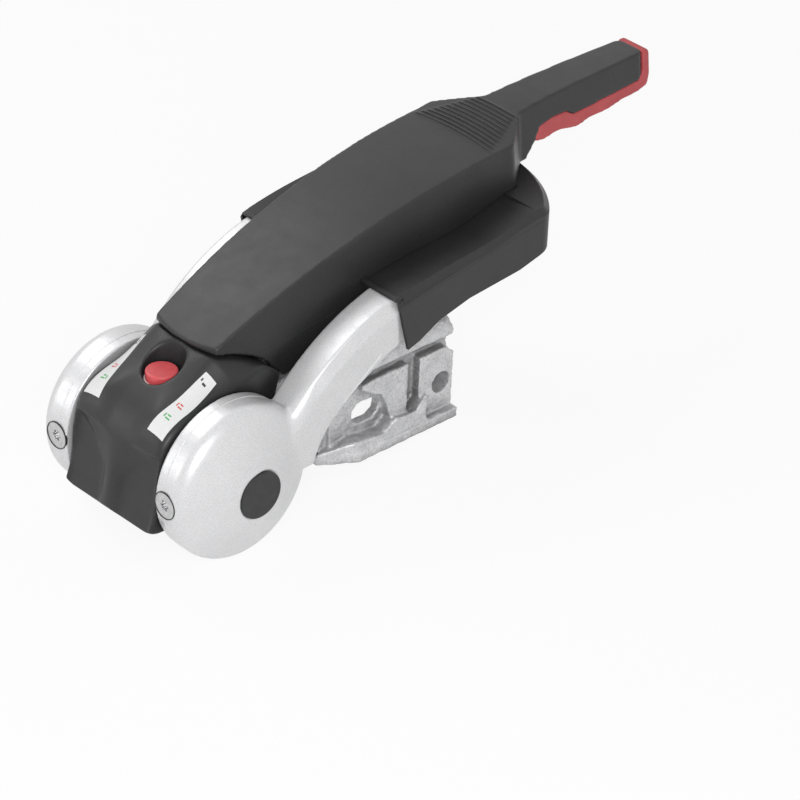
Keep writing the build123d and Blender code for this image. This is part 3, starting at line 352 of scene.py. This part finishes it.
def relax(mesh, rounds, weight=1.0):
    """Laplacian smoothing, by one weight or by a weight for each vertex."""
    points = coords(mesh)
    count = len(points)
    edges = np.empty(len(mesh.edges) * 2, dtype=np.int32)
    mesh.edges.foreach_get("vertices", edges)
    a, b = edges.reshape(-1, 2).T
    degree = np.maximum(np.bincount(a, minlength=count) + np.bincount(b, minlength=count), 1)
    share = RELAX_STEP * weight
    for _ in range(rounds):
        for axis in range(3):
            line = points[:, axis]
            total = np.bincount(a, line[b], count) + np.bincount(b, line[a], count)
            points[:, axis] += share * (total / degree - line)
    put_coords(mesh, points)


def smooth_step(x, low, high):
    t = np.clip((x - low) / (high - low), 0.0, 1.0)
    return t * t * (3.0 - 2.0 * t)


def applied(mesh, kind, **settings):
    """The mesh as a modifier leaves it, shaded smooth."""
    holder = link(bpy.data.objects.new("holder", mesh))
    modifier = holder.modifiers.new("step", kind)
    for key, value in settings.items():
        setattr(modifier, key, value)
    depsgraph = bpy.context.evaluated_depsgraph_get()
    result = bpy.data.meshes.new_from_object(holder.evaluated_get(depsgraph))
    bpy.data.objects.remove(holder)
    shade(result, True)
    return result


def stand_in(node, mesh):
    """A shown piece that replaces a CAD node and rides on its body."""
    obj = link(bpy.data.objects.new(node + "_form", mesh))
    dress(obj, SLOT_OF[node])
    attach(obj, BODY_OF[node])
    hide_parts(node)
    return obj


def soft_copy(node, voxel, rounds, share, shape=None):
    """Rounded copy of a CAD node, thinned to a share of its faces, which replaces it."""
    mesh = frame["nodes"][node].data.copy()
    work = bmesh.new()
    work.from_mesh(mesh)
    bmesh.ops.remove_doubles(work, verts=work.verts, dist=MERGE_DIST)
    work.to_mesh(mesh)
    work.free()
    mesh = applied(mesh, "REMESH", mode="VOXEL", voxel_size=voxel)
    relax(mesh, rounds)
    if shape:
        shape(mesh)
    return stand_in(node, applied(mesh, "DECIMATE", ratio=share))


def springy(node):
    """Copy of the upright spring, with a mesh of its own, that replaces it and rides on its body.
    """
    spring = stand_in(node, frame["nodes"][node].data.copy())
    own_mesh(spring)


# Arm shaping: the beam's root on the round head
ROOT_X, ROOT_Z = -0.030, 0.018
ROOT_REACH = (0.016, 0.034)
ROOT_OUTSIDE = (0.048, 0.056)
ROOT_ROUNDS = 60

# From here to the rear the arm lies in the yoke cover, and its top and outside are drawn in
COVERED_REAR = (0.102, 0.106)
COVERED_TOP_IN, FACES_UP = 0.0006, 0.2
COVERED_SIDE_IN, COVERED_SIDE_Y = 0.0005, 0.060


def blend_arm(mesh):
    """Run the arm's beam into its round head in one smooth casting."""
    x, y, z = coords(mesh).T
    near = 1.0 - smooth_step(np.hypot(x - ROOT_X, z - ROOT_Z), *ROOT_REACH)
    relax(mesh, ROOT_ROUNDS, near * smooth_step(np.abs(y), *ROOT_OUTSIDE))
    points = coords(mesh)
    y = points[:, 1]
    covered = smooth_step(-points[:, 0], *COVERED_REAR)
    top_in = np.where(normals(mesh)[:, 2] > FACES_UP, COVERED_TOP_IN, 0.0)
    side_in = np.where(np.abs(y) > COVERED_SIDE_Y, COVERED_SIDE_IN, 0.0)
    points[:, 2] -= covered * top_in
    points[:, 1] -= covered * np.sign(y) * side_in
    put_coords(mesh, points)


# Dock shaping: the brow under the labels is filled up, and a share of that forward
BROW_FILL, BROW_FORWARD = 0.0017, 0.5
BROW_X = (0.012, 0.034)
BROW_END_X = (0.037, 0.049)
BROW_Z = (0.016, 0.028)
BROW_WIDE = (0.006, 0.019)

# The rear shoulders roll off between two widths
SHOULDER_DROP, SHOULDER_POWER = 0.0115, 1.5
SHOULDER_IN, SHOULDER_OUT = 0.0215, 0.0355
SHOULDER_FRONT_X = (-0.004, 0.030)
SHOULDER_REAR_X = (-0.034, -0.012)
SHOULDER_Z = (0.018, 0.046)

# The nose's face, which leans back upwards as far as its top edge
FRONT_X, FRONT_LEAN = 0.04455, 0.1776
FRONT_FROM_X, FACES_FRONT = 0.030, 0.35
FRONT_TOP_Z, FRONT_HALF_W = 0.020, 0.033

# Its central tongue widens upwards and ends under the labels
TONGUE_FALL = 0.0020
TONGUE_HALF_W, TONGUE_WIDENS = 0.006, 0.008
TONGUE_WIDENS_Z = (-0.005, 0.025)
TONGUE_END_Z = (0.014, 0.036)
LABEL_END_Z = (0.018, 0.026)
LABEL_END_WIDE = (0.014, 0.020)

# A scoop on each side of the tongue, whose upper edge rises outwards and which fades at the foot
SCOOP_FALL, SCOOP_LIP = 0.0012, 0.003
SCOOP_START, SCOOP_RUN, SCOOP_RUN_MAX = 0.005, 0.0189, 1.6
SCOOP_LOW_Z, SCOOP_RISE, SCOOP_POWER = -0.004, 0.0212, 0.65
FOOT_FADE, FOOT_FADE_DOWN = 0.6, (0.014, 0.030)

# The lower front corners are lifted
CORNER_LIFT = 0.0022
CORNER_X = (0.040, 0.046)
CORNER_DOWN = (0.016, 0.030)
CORNER_WIDE = (0.029, 0.0358)

# Smoothing after that: rounds, and where they act
NOSE_ROUNDS, NOSE_X = 8, (0.030, 0.036)
CROWN_ROUNDS, CROWN_Z = 6, (0.010, 0.030)


def scoop_depth(wide, z):
    """How far the nose falls back beside its central tongue."""
    width = TONGUE_HALF_W + TONGUE_WIDENS * smooth_step(z, *TONGUE_WIDENS_Z)
    slope = 1.0 - np.exp(-((wide / width) ** 2))
    high = smooth_step(z, *TONGUE_END_Z)
    beside_label = smooth_step(z, *LABEL_END_Z) * smooth_step(wide, *LABEL_END_WIDE)
    fall = TONGUE_FALL * slope * (1.0 - high) * (1.0 - beside_label)
    run = np.clip((wide - SCOOP_START) / SCOOP_RUN, 0.0, SCOOP_RUN_MAX)
    edge = SCOOP_LOW_Z + SCOOP_RISE * run ** SCOOP_POWER
    inside = np.minimum((wide - SCOOP_START) / SCOOP_LIP, (edge - z) / SCOOP_LIP)
    fade = 1.0 - FOOT_FADE * smooth_step(-z, *FOOT_FADE_DOWN)
    return (fall + SCOOP_FALL * smooth_step(inside, 0.0, 1.0)) * fade


def shape_dock(mesh):
    """Fuller brow under the labels, a central tongue, and rear shoulders that roll off."""
    points = coords(mesh)
    x, y, z = points.T  # views, which follow each change of points
    wide = np.abs(y)
    brow = smooth_step(x, *BROW_X) * (1.0 - smooth_step(x, *BROW_END_X)) * smooth_step(z, *BROW_Z)
    brow *= smooth_step(wide, *BROW_WIDE)
    points[:, 2] += BROW_FILL * brow
    points[:, 0] += BROW_FORWARD * BROW_FILL * brow
    across = np.clip((wide - SHOULDER_IN) / (SHOULDER_OUT - SHOULDER_IN), 0.0, 1.0)
    along = (1.0 - smooth_step(x, *SHOULDER_FRONT_X)) * smooth_step(x, *SHOULDER_REAR_X)
    drop = SHOULDER_DROP * across ** SHOULDER_POWER * along
    points[:, 2] -= drop * smooth_step(z, *SHOULDER_Z)
    front = (normals(mesh)[:, 0] > FACES_FRONT) & (x > FRONT_FROM_X) & (wide < FRONT_HALF_W)
    face = FRONT_X - FRONT_LEAN * z - scoop_depth(wide, z)
    points[:, 0] = np.where(front & (z < FRONT_TOP_Z), np.minimum(x, face), x)
    corner = smooth_step(x, *CORNER_X) * smooth_step(-z, *CORNER_DOWN)
    points[:, 2] += CORNER_LIFT * corner * smooth_step(wide, *CORNER_WIDE)
    put_coords(mesh, points)
    relax(mesh, NOSE_ROUNDS, smooth_step(coords(mesh)[:, 0], *NOSE_X))
    relax(mesh, CROWN_ROUNDS, smooth_step(coords(mesh)[:, 2], *CROWN_Z))


# Handle shaping: its side walls reach down, outside the circle of the dock's rear edge
SKIRT_DROP = 0.006
SKIRT_CLEAR_R = 0.0610
SKIRT_START_REAR = (0.036, 0.046)
SKIRT_END_REAR = (0.058, 0.078)
SKIRT_WIDE = (0.020, 0.027)
SKIRT_Z = (0.043, 0.056)


def shape_handle(mesh):
    """Side walls carried down to the dock's rear edge."""
    points = coords(mesh)
    x, y, z = points.T
    zone = smooth_step(-x, *SKIRT_START_REAR) * (1.0 - smooth_step(-x, *SKIRT_END_REAR))
    drop = SKIRT_DROP * zone * smooth_step(np.abs(y), *SKIRT_WIDE)
    points[:, 2] -= drop * (1.0 - smooth_step(z, *SKIRT_Z))
    grow = np.maximum(1.0, SKIRT_CLEAR_R / np.hypot(points[:, 0], points[:, 2]))
    points[:, 0] *= grow
    points[:, 2] *= grow
    put_coords(mesh, points)


# Casting skin: size and height of its waves. The side tubes' bores and the ball socket stay true.
SKIN_SEED = 7
SKIN_WAVES = ((0.006, 0.00016), (0.0028, 0.00010), (0.0016, 0.00006))
WAVES_PER_SIZE = 6
WAVE_SHARE = 2.5
WAVE_TURN = 6.28
TUBE_BORE_R = 0.0345
SOCKET_R = 0.0262


def rough_casting(mesh):
    """Uneven sand-cast skin."""
    points = coords(mesh)
    along = normals(mesh)
    rng = np.random.default_rng(SKIN_SEED)
    lump = np.zeros(len(points))
    for size, height in SKIN_WAVES:
        for _ in range(WAVES_PER_SIZE):
            wave = rng.normal(size=3)
            wave *= 2.0 * math.pi / size / np.linalg.norm(wave)
            lump += height / WAVE_SHARE * np.sin(points @ wave + rng.uniform(0, WAVE_TURN))
    bore = np.hypot(points[:, 0], points[:, 2]) < TUBE_BORE_R
    socket = np.linalg.norm(points, axis=1) < SOCKET_R
    skin = np.where(bore | socket, 0.0, 1.0)
    put_coords(mesh, points + along * (lump * skin)[:, None])


make_camera()
dress_cad()

# Softened copies: voxel size, rounds of smoothing, share of faces kept, shaping
soft_copy("coupling_body", 0.00075, 3, 0.42, rough_casting)
dock = soft_copy("soft_dock", 0.0007, 6, 0.5, shape_dock)
handle = soft_copy("handle_shell", 0.0007, 4, 0.35, shape_handle)
soft_copy("grip_insert", 0.0006, 5, 0.6)
springy("indicator_spring")
arms = {side: soft_copy("arm_" + side, 0.0007, 3, 0.5, blend_arm) for side, _ in SIDES}


# Small raised and printed details, laid on the surfaces that carry them

FILM_SUNK = 0.00012
CAST_Y, CAST_Z = 0.2, 0.3  # well outside the part


def surface(obj):
    mesh = obj.data
    points = [vertex.co.copy() for vertex in mesh.vertices]
    return BVHTree.FromPolygons(points, [face.vertices[:] for face in mesh.polygons])


def film(name, place, steps, height, body, look):
    """Thin sheet or bead on a surface.

    place(u, v) gives a point and a normal, and height(u, v) how proud the film stands there.
    """
    nu, nv = steps
    points, faces = [], []
    for layer in (0, 1):
        for i in range(nu + 1):
            for j in range(nv + 1):
                u, v = i / nu, j / nv
                spot, normal = place(u, v)
                points.append(spot + normal * (height(u, v) if layer else -FILM_SUNK))
    step = nv + 1
    full = (nu + 1) * step
    for i in range(nu):
        for j in range(nv):
            a, d = i * step + j, (i + 1) * step + j
            b, c = a + 1, d + 1
            faces += [(a, b, c, d), (full + d, full + c, full + b, full + a)]
    rim = [i * step for i in range(nu + 1)] + [nu * step + j for j in range(1, nv + 1)]
    rim += [i * step + nv for i in range(nu - 1, -1, -1)] + list(range(nv - 1, 0, -1))
    for a, b in zip(rim, rim[1:] + rim[:1]):
        faces.append((a, b, full + b, full + a))
    mesh = bpy.data.meshes.new(name)
    mesh.from_pydata(points, [], faces)
    work = bmesh.new()
    work.from_mesh(mesh)
    bmesh.ops.recalc_face_normals(work, faces=work.faces)
    work.to_mesh(mesh)
    work.free()
    shade(mesh, False)
    obj = link(bpy.data.objects.new(name, mesh))
    dress(obj, look)
    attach(obj, body)
    return obj


def from_above(tree, x, y):
    spot, normal, _, _ = tree.ray_cast(Vector((x, y, CAST_Z)), Vector((0, 0, -1)))
    return spot, normal


def from_side(tree, x, z, sign):
    spot, normal, _, _ = tree.ray_cast(Vector((x, sign * CAST_Y, z)), Vector((0, -sign, 0)))
    return spot, normal


def between(points, u):
    """Point on a line through a few points, by share of the way."""
    at = u * (len(points) - 1)
    k = min(int(at), len(points) - 2)
    t = at - k
    return tuple(a + (b - a) * t for a, b in zip(points[k], points[k + 1]))


def bead(proud, ends):
    """Height of a half-round bead, which runs out over 1 / ends of its length at each end."""
    def height(u, v):
        round_off = math.sqrt(max(0.0, 1 - (2 * v - 1) ** 2))
        return proud * round_off * min(1.0, ends * u, ends * (1 - u))

    return height


# Wear scales on the dock's top: inner and outer edge in X and Y, from the nose to the rear
SCALE_INNER = [(0.0361, 0.0197), (0.0188, 0.0226), (-0.0001, 0.0242)]
SCALE_OUTER = [(0.0363, 0.0318), (0.0176, 0.0316), (-0.0021, 0.0303)]
SCALE_PROUD = 0.00012

# Their plain marks: ink, place along the scale, from and to across it, width along it
SCALE_MARKS = [
    ("ink_green", 0.225, 0.35, 0.62, 0.020),
    ("ink_green", 0.275, 0.35, 0.55, 0.020),
    ("ink_green", 0.250, 0.22, 0.28, 0.060),
    ("ink_red", 0.445, 0.35, 0.62, 0.020),
    ("ink_red", 0.495, 0.35, 0.55, 0.020),
    ("ink_red", 0.470, 0.22, 0.28, 0.060),
    ("ink_black", 0.870, 0.36, 0.62, 0.030),
    ("ink_black", 0.900, 0.14, 0.24, 0.040),
]
MARK_PROUD = 0.0002


def wear_scale(side, sign, tree):
    def spot(u, v):
        a, b = between(SCALE_INNER, u), between(SCALE_OUTER, u)
        return from_above(tree, a[0] + (b[0] - a[0]) * v, sign * (a[1] + (b[1] - a[1]) * v))

    film("wear_scale_" + side, spot, (24, 6), lambda u, v: SCALE_PROUD, "coupling", "paper")
    for index, (ink, at, low, high, width) in enumerate(SCALE_MARKS):
        def mark(u, v, at=at, low=low, high=high, width=width):
            return spot(at + (u - 0.5) * width, low + (high - low) * v)

        name = "scale_mark_%s_%d" % (side, index)
        film(name, mark, (2, 2), lambda u, v: MARK_PROUD, "coupling", ink)


# Thumb ribs across the panel's rear end: half lengths of the first and last, and their bow's radius
RIB_COUNT = 11
RIB_PITCH = 0.00331
RIB_FIRST_X = -0.1988
RIB_HALF = (0.0297, 0.0151)
RIB_BOW = 0.330
RIB_WIDTH = 0.0011
RIB_PROUD, RIB_ENDS = 0.00062, 30


def thumb_ribs(tree):
    for index in range(RIB_COUNT):
        half = RIB_HALF[0] + (RIB_HALF[1] - RIB_HALF[0]) * index / (RIB_COUNT - 1)
        end_x = RIB_FIRST_X - index * RIB_PITCH

        def spot(u, v, half=half, end_x=end_x):
            y = (2 * u - 1) * half
            x = end_x - (half * half - y * y) / (2 * RIB_BOW) + (v - 0.5) * RIB_WIDTH
            return from_above(tree, x, y)

        name = "thumb_rib_%02d" % index
        height = bead(RIB_PROUD, RIB_ENDS)
        rib = film(name, spot, (40, 6), height, "lever", "black_plastic")
        shade(rib.data, True)


# Raised casting lines on the arms: name, ends in X and Z, width, height
ARM_LINES = [
    ("edge", [(-0.0922, 0.0480), (-0.0634, 0.0265)], 0.0011, 0.0003),
    ("mark_a", [(-0.0700, 0.0405), (-0.0745, 0.0437)], 0.0008, 0.00014),
    ("mark_b", [(-0.0650, 0.0385), (-0.0680, 0.0407)], 0.0008, 0.00014),
]
LINE_ENDS = 20


def arm_lines(side, sign, tree):
    for label, line, width, proud in ARM_LINES:
        (x0, z0), (x1, z1) = line
        length = math.hypot(x1 - x0, z1 - z0)
        nx, nz = (z0 - z1) / length, (x1 - x0) / length

        def spot(u, v):
            off = (v - 0.5) * width
            x, z = x0 + (x1 - x0) * u + nx * off, z0 + (z1 - z0) * u + nz * off
            return from_side(tree, x, z, sign)

        name = "arm_line_%s_%s" % (side, label)
        film(name, spot, (24, 4), bead(proud, LINE_ENDS), "lever", "silver_arm")


# Parting line round the upper front of a round head
RIM_START_DEG, RIM_SWEEP_DEG = -60, 190
RIM_Y = 0.0428
RIM_WIDTH = 0.0006
RIM_PROUD = 0.00022
RIM_CAST_R = 0.09


def rim_line(side, sign, tree):
    def spot(u, v):
        angle = math.radians(RIM_START_DEG + RIM_SWEEP_DEG * u)
        way = Vector((math.cos(angle), 0, math.sin(angle)))
        y = sign * (RIM_Y + (v - 0.5) * RIM_WIDTH)
        spot, normal, _, _ = tree.ray_cast(way * RIM_CAST_R + Vector((0, y, 0)), -way)
        return spot, normal

    height = bead(RIM_PROUD, LINE_ENDS)
    film("rim_line_" + side, spot, (90, 4), height, "lever", "silver_arm")


# Band along the yoke cover's bevel: its ends in X, its upper edge in Y and its fall to the wall
BAND_X = (-0.1050, -0.2000)
BAND_Y = 0.0604
BAND_FALL = 0.0040
BAND_REACH = 0.0006
BAND_PROUD = 0.00016


def bevel_band(side, sign, tree):
    out = Vector((0, sign, 1)).normalized()

    def spot(u, v):
        x = BAND_X[0] + (BAND_X[1] - BAND_X[0]) * u
        top, _ = from_above(tree, x, sign * BAND_Y)
        wall, _ = from_side(tree, x, top.z - BAND_FALL, sign)
        spot, _, _, _ = tree.find_nearest(top + (wall - top) * v + out * BAND_REACH)
        return spot, out

    name = "bevel_band_" + side
    film(name, spot, (60, 4), lambda u, v: BAND_PROUD, "lever", "black_plastic")


# Painted shade lines: dark strips that stand for the shade in the creases on the handle's side and
# under the yoke cover's bevel, in X and Z
HANDLE_SHADE_LINE = [(-0.0323, 0.0536), (-0.0486, 0.0570), (-0.0645, 0.0604), (-0.0830, 0.0636)]
YOKE_SHADE_LINE = [
    (-0.1040, 0.0705), (-0.1190, 0.0737), (-0.1420, 0.0776),
    (-0.1677, 0.0812), (-0.1927, 0.0850), (-0.2080, 0.0872),
]
SHADE_LINE_WIDTH = 0.00035
SHADE_LINE_PROUD = 0.00006


def shade_line(name, line, sign, tree):
    def spot(u, v):
        x, z = between(line, u)
        return from_side(tree, x, z + (v - 0.5) * SHADE_LINE_WIDTH, sign)

    # The strip takes the caps' dark look as painted shade
    film(name, spot, (40, 2), lambda u, v: SHADE_LINE_PROUD, "lever", "cap")


# Rings: a dark ring of painted shade for the gap round the screw in a round head's rim, and the
# edge round the wear indicator
RING_STEPS = 64
SCREW_Y = 0.0442
SCREW_SHADE_R, SCREW_SHADE_X = (0.0075, 0.0080), (0.0440, 0.0453)
INDICATOR_X = 0.0095
INDICATOR_RING_R, INDICATOR_RING_Z = (0.0090, 0.0096), (0.0415, 0.0432)


def ring(name, centre, axis, radii, span, body, look):
    """Flat ring with square edges round an axis."""
    turn = Vector(axis).to_track_quat("Z", "Y").to_matrix()
    points, faces = [], []
    (inner, outer), (low, high) = radii, span
    section = [(inner, low), (outer, low), (outer, high), (inner, high)]
    for i in range(RING_STEPS):
        angle = 2 * math.pi * i / RING_STEPS
        for r, h in section:
            arm = Vector((r * math.cos(angle), r * math.sin(angle), h))
            points.append(Vector(centre) + turn @ arm)
    for i in range(RING_STEPS):
        for j in range(4):
            a, b = i * 4 + j, i * 4 + (j + 1) % 4
            c, d = (i + 1) % RING_STEPS * 4 + (j + 1) % 4, (i + 1) % RING_STEPS * 4 + j
            faces.append((a, b, c, d))
    mesh = bpy.data.meshes.new(name)
    mesh.from_pydata(points, [], faces)
    obj = link(bpy.data.objects.new(name, mesh))
    dress(obj, look)
    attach(obj, body)


dock_tree = surface(dock)
for side, sign in SIDES:
    arm_tree = surface(arms[side])
    wear_scale(side, sign, dock_tree)
    arm_lines(side, sign, arm_tree)
    rim_line(side, sign, arm_tree)
    screw = (0, sign * SCREW_Y, 0)
    # Dark ring of painted shade in the gap round the screw head
    ring("screw_shade_ring_" + side, screw, (1, 0, 0), SCREW_SHADE_R, SCREW_SHADE_X, "lever", "cap")
handle_tree = surface(handle)
yoke_tree = surface(frame["nodes"]["yoke_cover"])
for side, sign in SIDES:
    # Dark strips of painted shade along the creases
    shade_line("handle_shade_line_" + side, HANDLE_SHADE_LINE, sign, handle_tree)
    shade_line("yoke_shade_line_" + side, YOKE_SHADE_LINE, sign, yoke_tree)
    bevel_band(side, sign, yoke_tree)
thumb_ribs(handle_tree)
button = (INDICATOR_X, 0, 0)
ring("indicator_ring", button, (0, 0, 1), INDICATOR_RING_R, INDICATOR_RING_Z, "coupling", "paper")


# Studio

WORLD_FILL = 0.36  # the world's strength on matt surfaces; seen directly it is 1

# The floor touches the round heads and the clamp's rear feet
FLOOR_POINT = (-0.171, 0.0, -0.034)
FLOOR_TILT = math.radians(3.86)
FLOOR_HALF = 6.0
FLOOR_COLOUR = (0.92, 0.92, 0.92, 1)
FLOOR_GLOW = 0.90  # share of plain white where it is seen directly; the rest takes the shadow

# Softboxes: name, place, aim, size, watts
LAMPS = [
    ("key", (0.75, 0.9, 0.75), (-0.05, 0.0, 0.03), (0.6, 0.6), 10.5),
    ("left", (1.1, -0.9, 0.40), (0.0, 0.0, 0.02), (0.3, 0.7), 2.0),
    ("back", (0.05, -0.9, 1.15), (-0.05, 0.0, 0.05), (0.9, 0.6), 5.0),
]


def seen_directly(nodes, links):
    """1 for rays from the camera or by way of gloss and glass, and 0 for the rest."""
    path = nodes.new("ShaderNodeLightPath")
    last = path.outputs["Is Camera Ray"]
    for kind in ("Is Glossy Ray", "Is Transmission Ray"):
        either = nodes.new("ShaderNodeMath")
        either.operation = "MAXIMUM"
        links.new(last, either.inputs[0])
        links.new(path.outputs[kind], either.inputs[1])
        last = either.outputs[0]
    return last


def studio():
    scene.view_settings.view_transform = "Standard"
    world = bpy.data.worlds.new("studio")
    scene.world = world
    world.use_nodes = True
    nodes, links = world.node_tree.nodes, world.node_tree.links
    sky = nodes["Background"]
    sky.inputs["Color"].default_value = (1.0, 1.0, 1.0, 1.0)
    level = nodes.new("ShaderNodeMapRange")
    level.inputs["To Min"].default_value = WORLD_FILL
    level.inputs["To Max"].default_value = 1.0
    links.new(seen_directly(nodes, links), level.inputs["Value"])
    links.new(level.outputs[0], sky.inputs["Strength"])


def softbox(name, place, aim, size, power):
    data = bpy.data.lights.new(name, "AREA")
    data.shape = "RECTANGLE"
    data.size, data.size_y = size
    data.energy = power
    lamp = link(bpy.data.objects.new(name, data))
    lamp.location = place
    lamp.rotation_euler = (Vector(place) - Vector(aim)).to_track_quat("Z", "Y").to_euler()


def floor():
    half = FLOOR_HALF
    corners = [(-half, -half, 0), (half, -half, 0), (half, half, 0), (-half, half, 0)]
    mesh = bpy.data.meshes.new("floor")
    mesh.from_pydata(corners, [], [(0, 1, 2, 3)])
    obj = link(bpy.data.objects.new("floor", mesh))
    obj.matrix_world = Matrix.Translation(FLOOR_POINT) @ Matrix.Rotation(FLOOR_TILT, 4, "Y")
    material = bpy.data.materials.new("floor")
    material.use_nodes = True
    nodes, links = material.node_tree.nodes, material.node_tree.links
    nodes.remove(nodes["Principled BSDF"])
    matt = nodes.new("ShaderNodeBsdfDiffuse")
    matt.inputs["Color"].default_value = FLOOR_COLOUR
    glow = nodes.new("ShaderNodeEmission")
    glow.inputs["Strength"].default_value = 1.0
    share = nodes.new("ShaderNodeMath")
    share.operation = "MULTIPLY"
    share.inputs[1].default_value = FLOOR_GLOW
    links.new(seen_directly(nodes, links), share.inputs[0])
    mixed = nodes.new("ShaderNodeMixShader")
    links.new(share.outputs[0], mixed.inputs["Fac"])
    links.new(matt.outputs[0], mixed.inputs[1])
    links.new(glow.outputs[0], mixed.inputs[2])
    links.new(mixed.outputs[0], nodes["Material Output"].inputs["Surface"])
    mesh.materials.append(material)


studio()
floor()
for lamp in LAMPS:
    softbox(*lamp)
